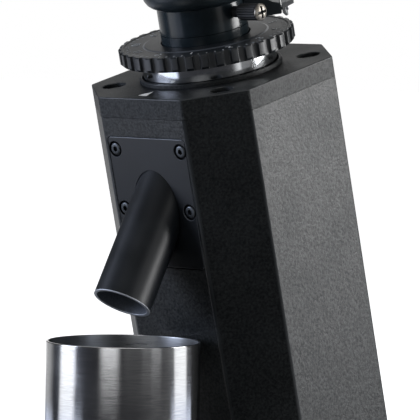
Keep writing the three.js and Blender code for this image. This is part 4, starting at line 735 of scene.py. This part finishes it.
cup = lathe([
    (0, 20.5), (CUP_OUTER, 20.5, 5), (CUP_OUTER, CUP_RIM, 0.45), (CUP_INNER, CUP_RIM, 0.45),
    (CUP_INNER, 21.7, 4), (0, 21.7),
], 160)
mark_faces(cup, in_cup)
piece("steel_cup", moved(cup, CUP_AXIS), UPRIGHT, "cup", "dosing_cup", "polished_steel",
      polished, drawn)

# The base: a slab with a round bed for the mat, posts for the board, a saddle for the capacitor
BASE_WIDTH, BASE_DEPTH, BASE_BOTTOM, BASE_TOP = 130, 226, 7, 19
OVERLAP = 18.7  # what stands on the base starts a little inside it
base = rounded_block(
    BASE_WIDTH, BASE_DEPTH, radius=14, bottom=BASE_BOTTOM, top=BASE_TOP, rounding=2,
)
soften(base, 0.8, 60, where=lambda edge: max(v.co.z for v in edge.verts) < BASE_BOTTOM + 0.01)
added = [
    moved(cylinder(3, OVERLAP, 25, 32), at(x, y, 0)) for x in (-27, 27) for y in (48, 84)
]
SADDLE_Y = 26
saddle = moved(block(9, 27.4, OVERLAP, 30.1), at(0, SADDLE_Y, 0))
round_seat = moved(cylinder(11.3, -30, 30), at(0, SADDLE_Y, 32.7) @ turned(90, "Y"))
added.append(carve(saddle, round_seat))
base = carve(base, together(*added), "UNION")
cuts = [moved(cylinder(41.3, 18, 25, 128), CUP_AXIS)]
for y in (16.69, 86.99):
    for x in (-37, 37):
        screw_hole = lathe([(0, 2), (4.9, 2), (4.9, 13), (2.9, 13), (2.9, 25), (0, 25)], 48)
        cuts.append(moved(screw_hole, at(x, y, 0)))
base = carve(base, together(*cuts))
piece("base_slab", base, UPRIGHT, "grinder", "base_plate", "powder_coat", powder_coat)

# The feet, each with a hollow in its underside
FOOT_X, FOOT_Y = 51, 99
for number, (x, y) in enumerate(QUARTERS, 1):
    foot = lathe([
        (0, 3), (4, 3, 0.4), (4, 0, 0.4), (10, 0, 0.7), (10, 3.5, 0.6), (8.5, 6.95), (0, 6.95),
    ], 96)
    piece(f"foot_{number}", moved(foot, at(x * FOOT_X, y * FOOT_Y, 0)), UPRIGHT, "grinder",
          f"rubber_foot_{number}", "rubber", rubber)

# The round mat with four ring grooves
MAT_TOP, GROOVE_FLOOR = 20.15, 19.6
mat_profile = [(0, 18), (41, 18, 0.3), (41, MAT_TOP, 0.7)]
for groove in (33, 24.6, 16.4, 8.2):
    mat_profile += [
        (groove + 1, MAT_TOP, 0.25), (groove + 0.8, GROOVE_FLOOR),
        (groove - 0.8, GROOVE_FLOOR), (groove - 1, MAT_TOP, 0.25),
    ]
mat = lathe([*mat_profile, (0, MAT_TOP)], 144)
piece("ribbed_mat", moved(mat, CUP_AXIS), UPRIGHT, "grinder", "cup_mat", "rubber", rubber)

# Rocker switch and mains inlet

# Where both sit on the column, their faces outwards
SWITCH_Y, SWITCH_Z, INLET_Z = -6, -197, -208.48
FACE_LEFT = at(-COLUMN_X, SWITCH_Y, SWITCH_Z) @ turned(-90, "Y")
FACE_REAR = at(0, COLUMN_Y, INLET_Z) @ turned(-90, "X")
PIVOT = -1.5  # the rocker's pin, measured outwards from the column's side
PIN_AXIS = at(0, 0, PIVOT) @ turned(90, "X")

switch = rounded_block(21, 15, radius=1.5, bottom=0.3, top=1.6, rounding=0.5)
switch = carve(switch, block(18.6, 12.6, -13, 0.9), "UNION")
switch = carve(switch, block(16, 10, -8.5, 5))
switch = carve(switch, moved(cylinder(1.5, -5.65, 5.65, 32), PIN_AXIS))
piece("switch_frame", moved(switch, FACE_LEFT), TOWER, "grinder", "switch_body", "matt_black",
      matt_abs)

# The rocker's face is a shallow V: the half that is pressed lies level with the frame
KEY_HALF, KEY_TOP, KEY_TILT = 7.0, 3.4, 8
KEY_DIP = KEY_HALF * math.tan(math.radians(KEY_TILT))
PRESSED = at(0, 0, PIVOT) @ turned(-KEY_TILT, "Y") @ at(0, 0, -PIVOT)
KEY_STAND = FACE_LEFT @ PRESSED


def on_key(side):
    """The middle of one half of the rocker's face."""
    middle = at(side * KEY_HALF / 2, 0, KEY_TOP - KEY_DIP / 2)
    return KEY_STAND @ middle @ turned(-side * KEY_TILT, "Y")


key = prism([
    (-KEY_HALF, KEY_TOP), (-6.5, -1.5), (-2, -4.5), (2, -4.5), (6.5, -1.5), (KEY_HALF, KEY_TOP),
    (0, KEY_TOP - KEY_DIP),
], -4.7, 4.7)
soften(key, 0.35, 15, segments=3)
key = carve(moved(key, turned(90, "X")), moved(cylinder(1.2, -5.35, 5.35, 32), PIN_AXIS), "UNION")
piece("rocker_key", moved(key, KEY_STAND), TOWER, "rocker", "power_rocker", "matt_black", matt_abs)
on_mark = moved(block(3.6, 0.7, -0.05, 0.06), on_key(1))
off_mark = lathe([(1.3, -0.05), (1.95, -0.05), (1.95, 0.06), (1.3, 0.06)], 64, closed=True)
off_mark = moved(off_mark, on_key(-1))
piece("rocker_marks", together(on_mark, off_mark), TOWER, "rocker", None, "mark_white", mark_paint)

# The mains inlet: a flange with two screw holes and a well with three blades
INLET_SCREW_X = 20
inlet = rounded_block(48, 23, radius=3, bottom=0.3, top=2.3, rounding=0.7)
inlet = carve(inlet, block(28, 20.6, -20, 1.2), "UNION")
cuts = [prism([
    (-12.2, 8.5), (-12.2, -4.5), (-8.2, -8.5), (8.2, -8.5), (12.2, -4.5), (12.2, 8.5),
], -14, 6)]
for side in (-1, 1):
    countersink = lathe([(0, -3), (1.9, -3), (1.9, 1.5), (2.9, 2.35), (2.9, 5), (0, 5)], 48)
    cuts.append(moved(countersink, at(side * INLET_SCREW_X, 0, 0)))
inlet = carve(inlet, together(*cuts))
piece("inlet_frame", moved(inlet, FACE_REAR), TOWER, "grinder", "power_inlet", "matt_black",
      matt_abs)
blades = []
for x, y in ((-7, 2), (0, -2), (7, 2)):
    blades.append(moved(soften(block(2, 4, -14.2, -1), 0.4, 20), at(x, y, 0)))
piece("inlet_blades", moved(together(*blades), FACE_REAR), TOWER, "grinder", None, "brushed_steel",
      brushed)

# The view

# Where the photograph was taken from: back points from the object to the camera, flat is its
# level part, right and up are the picture's own before the small roll
VIEW_TURN, VIEW_RISE, VIEW_ROLL = math.radians(42.016), math.radians(3.09), math.radians(0.877)
back = Vector((
    math.sin(VIEW_TURN) * math.cos(VIEW_RISE),
    -math.cos(VIEW_TURN) * math.cos(VIEW_RISE),
    math.sin(VIEW_RISE),
))
right = Vector((math.cos(VIEW_TURN), math.sin(VIEW_TURN), 0))
up = back.cross(right)
flat = Vector((back.x, back.y, 0)).normalized()

camera = bpy.data.objects.new("camera", bpy.data.cameras.new("camera"))
scene.collection.objects.link(camera)
camera.data.lens = 326.9
camera.data.sensor_width = 36
camera.data.clip_end = 50
axes = Matrix((
    math.cos(VIEW_ROLL) * right + math.sin(VIEW_ROLL) * up,
    -math.sin(VIEW_ROLL) * right + math.cos(VIEW_ROLL) * up,
    back,
)).transposed().to_4x4()
# Where the camera stands, in m from the middle of the cap's top
STAND_RIGHT, STAND_UP, STAND_BACK = 0.000559, -0.071425, 1.9498
stand = CAP_CENTRE + STAND_RIGHT * right + STAND_UP * up + STAND_BACK * back
camera.matrix_world = Matrix.Translation(stand) @ axes
scene.camera = camera

# Floor and world

# What gloss shows of the studio: groups of bright panels. A group is its fades (pairs of the
# distance in m at which the panels are dark and the one at which they are full; in the world the
# height of the direction instead) and its panels (turn from the camera's side to its right, half
# width of the full part and of the whole in degrees, brightness).
NEAR = ((0.42, 0.5), (0.68, 0.6))  # a ring of floor close round the object
BACKDROP = ((180, 6, 14, 1),)  # the white backdrop behind the object


def fill_panels(right_share):
    """The dim reflectors near the camera that the steel cup shows as grey stripes."""
    return (
        (-19.5, 7, 16, 1.25), (33, 5, 9, 0.5 * right_share), (48, 6, 10, 1.2 * right_share),
        (38, 34, 42, 0.11),
    )


FLOOR_PANELS = (
    # White cards close to the object, then what stands further off on both sides
    (NEAR, ((-76, 15, 21, 1), (-133, 10, 20, 0.7), (106, 32, 38, 1))),
    (((0.5, 0.58), (2.0, 1.8)), ((-86, 11, 17, 1), (92.5, 12, 15, 1))),
    (((0.7, 0.9), (4.0, 3.0)), ((-160, 9, 15, 0.5),)),
    # The floor round the base, pale in places, so that the steel is steel from above too
    (((0.42, 0.34),), (
        (-40, 9, 20, 0.45), (52, 8, 18, 0.6), (125, 14, 30, 0.5), (-125, 12, 26, 0.5),
    )),
    (((1.05, 1.25),), fill_panels(0.45)),
    # The backdrop, and the pale floor before it
    (((0.3, 0.5),), BACKDROP),
    ((), ((185, 40, 58, 0.3),)),
)
WORLD_PANELS = ((((0.75, 0.6),), BACKDROP), (((0.5, 0.4),), fill_panels(1)))


def faded(tree, light, distance, fades):
    """A light's strength, brought in between the dark and the full end of each fade."""
    for dark, full in fades:
        share = add(tree, "ShaderNodeMapRange",
                    {"Value": distance, "From Min": dark, "From Max": full})
        light = add(tree, "ShaderNodeMath", {0: share.outputs[0], 1: light},
                    operation="MULTIPLY").outputs[0]
    return light


def panels(tree, vector, distance, groups):
    """The brightest panel at each place of the floor or in each direction of the world."""
    level = add(tree, "ShaderNodeVectorMath", {0: vector, 1: (1, 1, 0)}, operation="MULTIPLY")
    level = add(tree, "ShaderNodeVectorMath", {0: level.outputs[0]}, operation="NORMALIZE")
    brightest = 0.0
    for fades, wedges in groups:
        lit = 0.0
        for turn, core, edge, strength in wedges:
            turn = math.radians(turn)
            middle = tuple(math.cos(turn) * flat + math.sin(turn) * right)
            facing = add(tree, "ShaderNodeVectorMath", {0: level.outputs[0], 1: middle},
                         operation="DOT_PRODUCT")
            wedge = add(tree, "ShaderNodeMapRange", {
                "Value": facing.outputs["Value"], "From Min": math.cos(math.radians(edge)),
                "From Max": math.cos(math.radians(core)), "To Max": strength,
            })
            lit = add(tree, "ShaderNodeMath", {0: wedge.outputs[0], 1: lit},
                      operation="MAXIMUM").outputs[0]
        lit = faded(tree, lit, distance, fades)
        brightest = add(tree, "ShaderNodeMath", {0: lit, 1: brightest},
                        operation="MAXIMUM").outputs[0]
    return brightest


floor_mesh = bpy.data.meshes.new("floor")
plane = bmesh.new()
bmesh.ops.create_grid(plane, x_segments=2, y_segments=2, size=8)
plane.to_mesh(floor_mesh)
plane.free()
floor = bpy.data.objects.new("floor", floor_mesh)
scene.collection.objects.link(floor)

PANEL_GLOW, FLOOR_GLOW = 1.7, 0.85
# Matt white paint: white to the camera. In gloss it is white behind the object and on the cards,
# and dark elsewhere, as the photograph's chamfer and steel show it; the near cards a little cold
floor_paint = bpy.data.materials.new("matt_white_floor")
floor_paint.use_nodes = True
tree = floor_paint.node_tree
shader = tree.nodes["Principled BSDF"]
seen = add(tree, "ShaderNodeLightPath").outputs
place = add(tree, "ShaderNodeTexCoord").outputs["Object"]
reach = add(tree, "ShaderNodeVectorMath", {0: place}, operation="LENGTH").outputs["Value"]
clear = add(tree, "ShaderNodeMath", {0: seen["Is Camera Ray"], 1: seen["Is Transmission Ray"]},
            operation="MAXIMUM").outputs[0]
paint = add(tree, "ShaderNodeMix",
            {0: seen["Is Glossy Ray"], 6: srgb("#8a8a8c"), 7: srgb("#3e3e40")}, data_type="RGBA")
paint = add(tree, "ShaderNodeMix", {0: clear, 6: paint.outputs[2], 7: srgb("#e8e8e8")},
            data_type="RGBA")
shown = add(tree, "ShaderNodeMath",
            {0: seen["Is Glossy Ray"], 1: panels(tree, place, reach, FLOOR_PANELS)},
            operation="MULTIPLY")
shown = add(tree, "ShaderNodeMath", {0: shown.outputs[0], 1: PANEL_GLOW}, operation="MULTIPLY")
glow = add(tree, "ShaderNodeMath", {0: clear, 1: FLOOR_GLOW, 2: shown.outputs[0]},
           operation="MULTIPLY_ADD")
tint = add(tree, "ShaderNodeMix", {
    0: faded(tree, seen["Is Glossy Ray"], reach, NEAR), 6: srgb("#ffffff"), 7: srgb("#dfe8ff"),
}, data_type="RGBA")
tree.links.new(paint.outputs[2], shader.inputs["Base Color"])
tree.links.new(glow.outputs[0], shader.inputs["Emission Strength"])
tree.links.new(tint.outputs[2], shader.inputs["Emission Color"])
shader.inputs["Roughness"].default_value = 0.9
shader.inputs["Specular IOR Level"].default_value = 0.1
floor_mesh.materials.append(floor_paint)

# World: white to the camera and, behind the object, in gloss; a dim studio elsewhere
world = bpy.data.worlds.new("studio")
scene.world = world
world.use_nodes = True
tree = world.node_tree
seen = add(tree, "ShaderNodeLightPath").outputs
way = add(tree, "ShaderNodeTexCoord").outputs["Generated"]
rise = add(tree, "ShaderNodeSeparateXYZ", {0: way}).outputs["Z"]
strength = add(tree, "ShaderNodeMapRange", {
    "Value": rise, "From Min": 0.05, "From Max": 0.5, "To Min": 0.06, "To Max": 0.13,
}).outputs[0]
in_gloss = add(tree, "ShaderNodeMath",
               {0: seen["Is Glossy Ray"], 1: panels(tree, way, rise, WORLD_PANELS)},
               operation="MULTIPLY").outputs[0]
on_matt = add(tree, "ShaderNodeMath", {0: seen["Is Diffuse Ray"], 1: 0.25},
              operation="MULTIPLY").outputs[0]
for light in (in_gloss, on_matt, seen["Is Camera Ray"], seen["Is Transmission Ray"]):
    strength = add(tree, "ShaderNodeMath", {0: strength, 1: light}, operation="MAXIMUM").outputs[0]
background = tree.nodes["Background"]
tree.links.new(strength, background.inputs["Strength"])
background.inputs["Color"].default_value = (1, 1, 1, 1)

# Lamps

AIM = Vector((0, 0, 0.15))  # what every softbox points at: the middle of the object


def softbox(name, turn, rise, distance, width, height, radiance, tint="#ffffff"):
    """An area lamp aimed at the object; turn, in degrees, runs from the camera to its right."""
    lamp = bpy.data.lights.new(name, "AREA")
    lamp.shape = "RECTANGLE"
    lamp.size, lamp.size_y = width, height
    lamp.energy = radiance * math.pi * width * height
    lamp.color = srgb(tint)[:3]
    turn, rise = math.radians(turn), math.radians(rise)
    level = math.cos(turn) * flat + math.sin(turn) * right
    way = math.cos(rise) * level + Vector((0, 0, math.sin(rise)))
    holder = bpy.data.objects.new(name, lamp)
    scene.collection.objects.link(holder)
    facing = way.to_track_quat("Z", "Y").to_matrix().to_4x4()
    holder.matrix_world = Matrix.Translation(AIM + distance * way) @ facing
    holder.visible_camera = False


softbox("left_softbox", turn=-86, rise=8, distance=2.0, width=1.07, height=1.4, radiance=8.2,
        tint="#dde7ff")
softbox("right_softbox", turn=92.5, rise=11, distance=2.0, width=0.95, height=0.72, radiance=15.5)
softbox("top_softbox", turn=0, rise=82, distance=1.8, width=1.3, height=1.3, radiance=2)
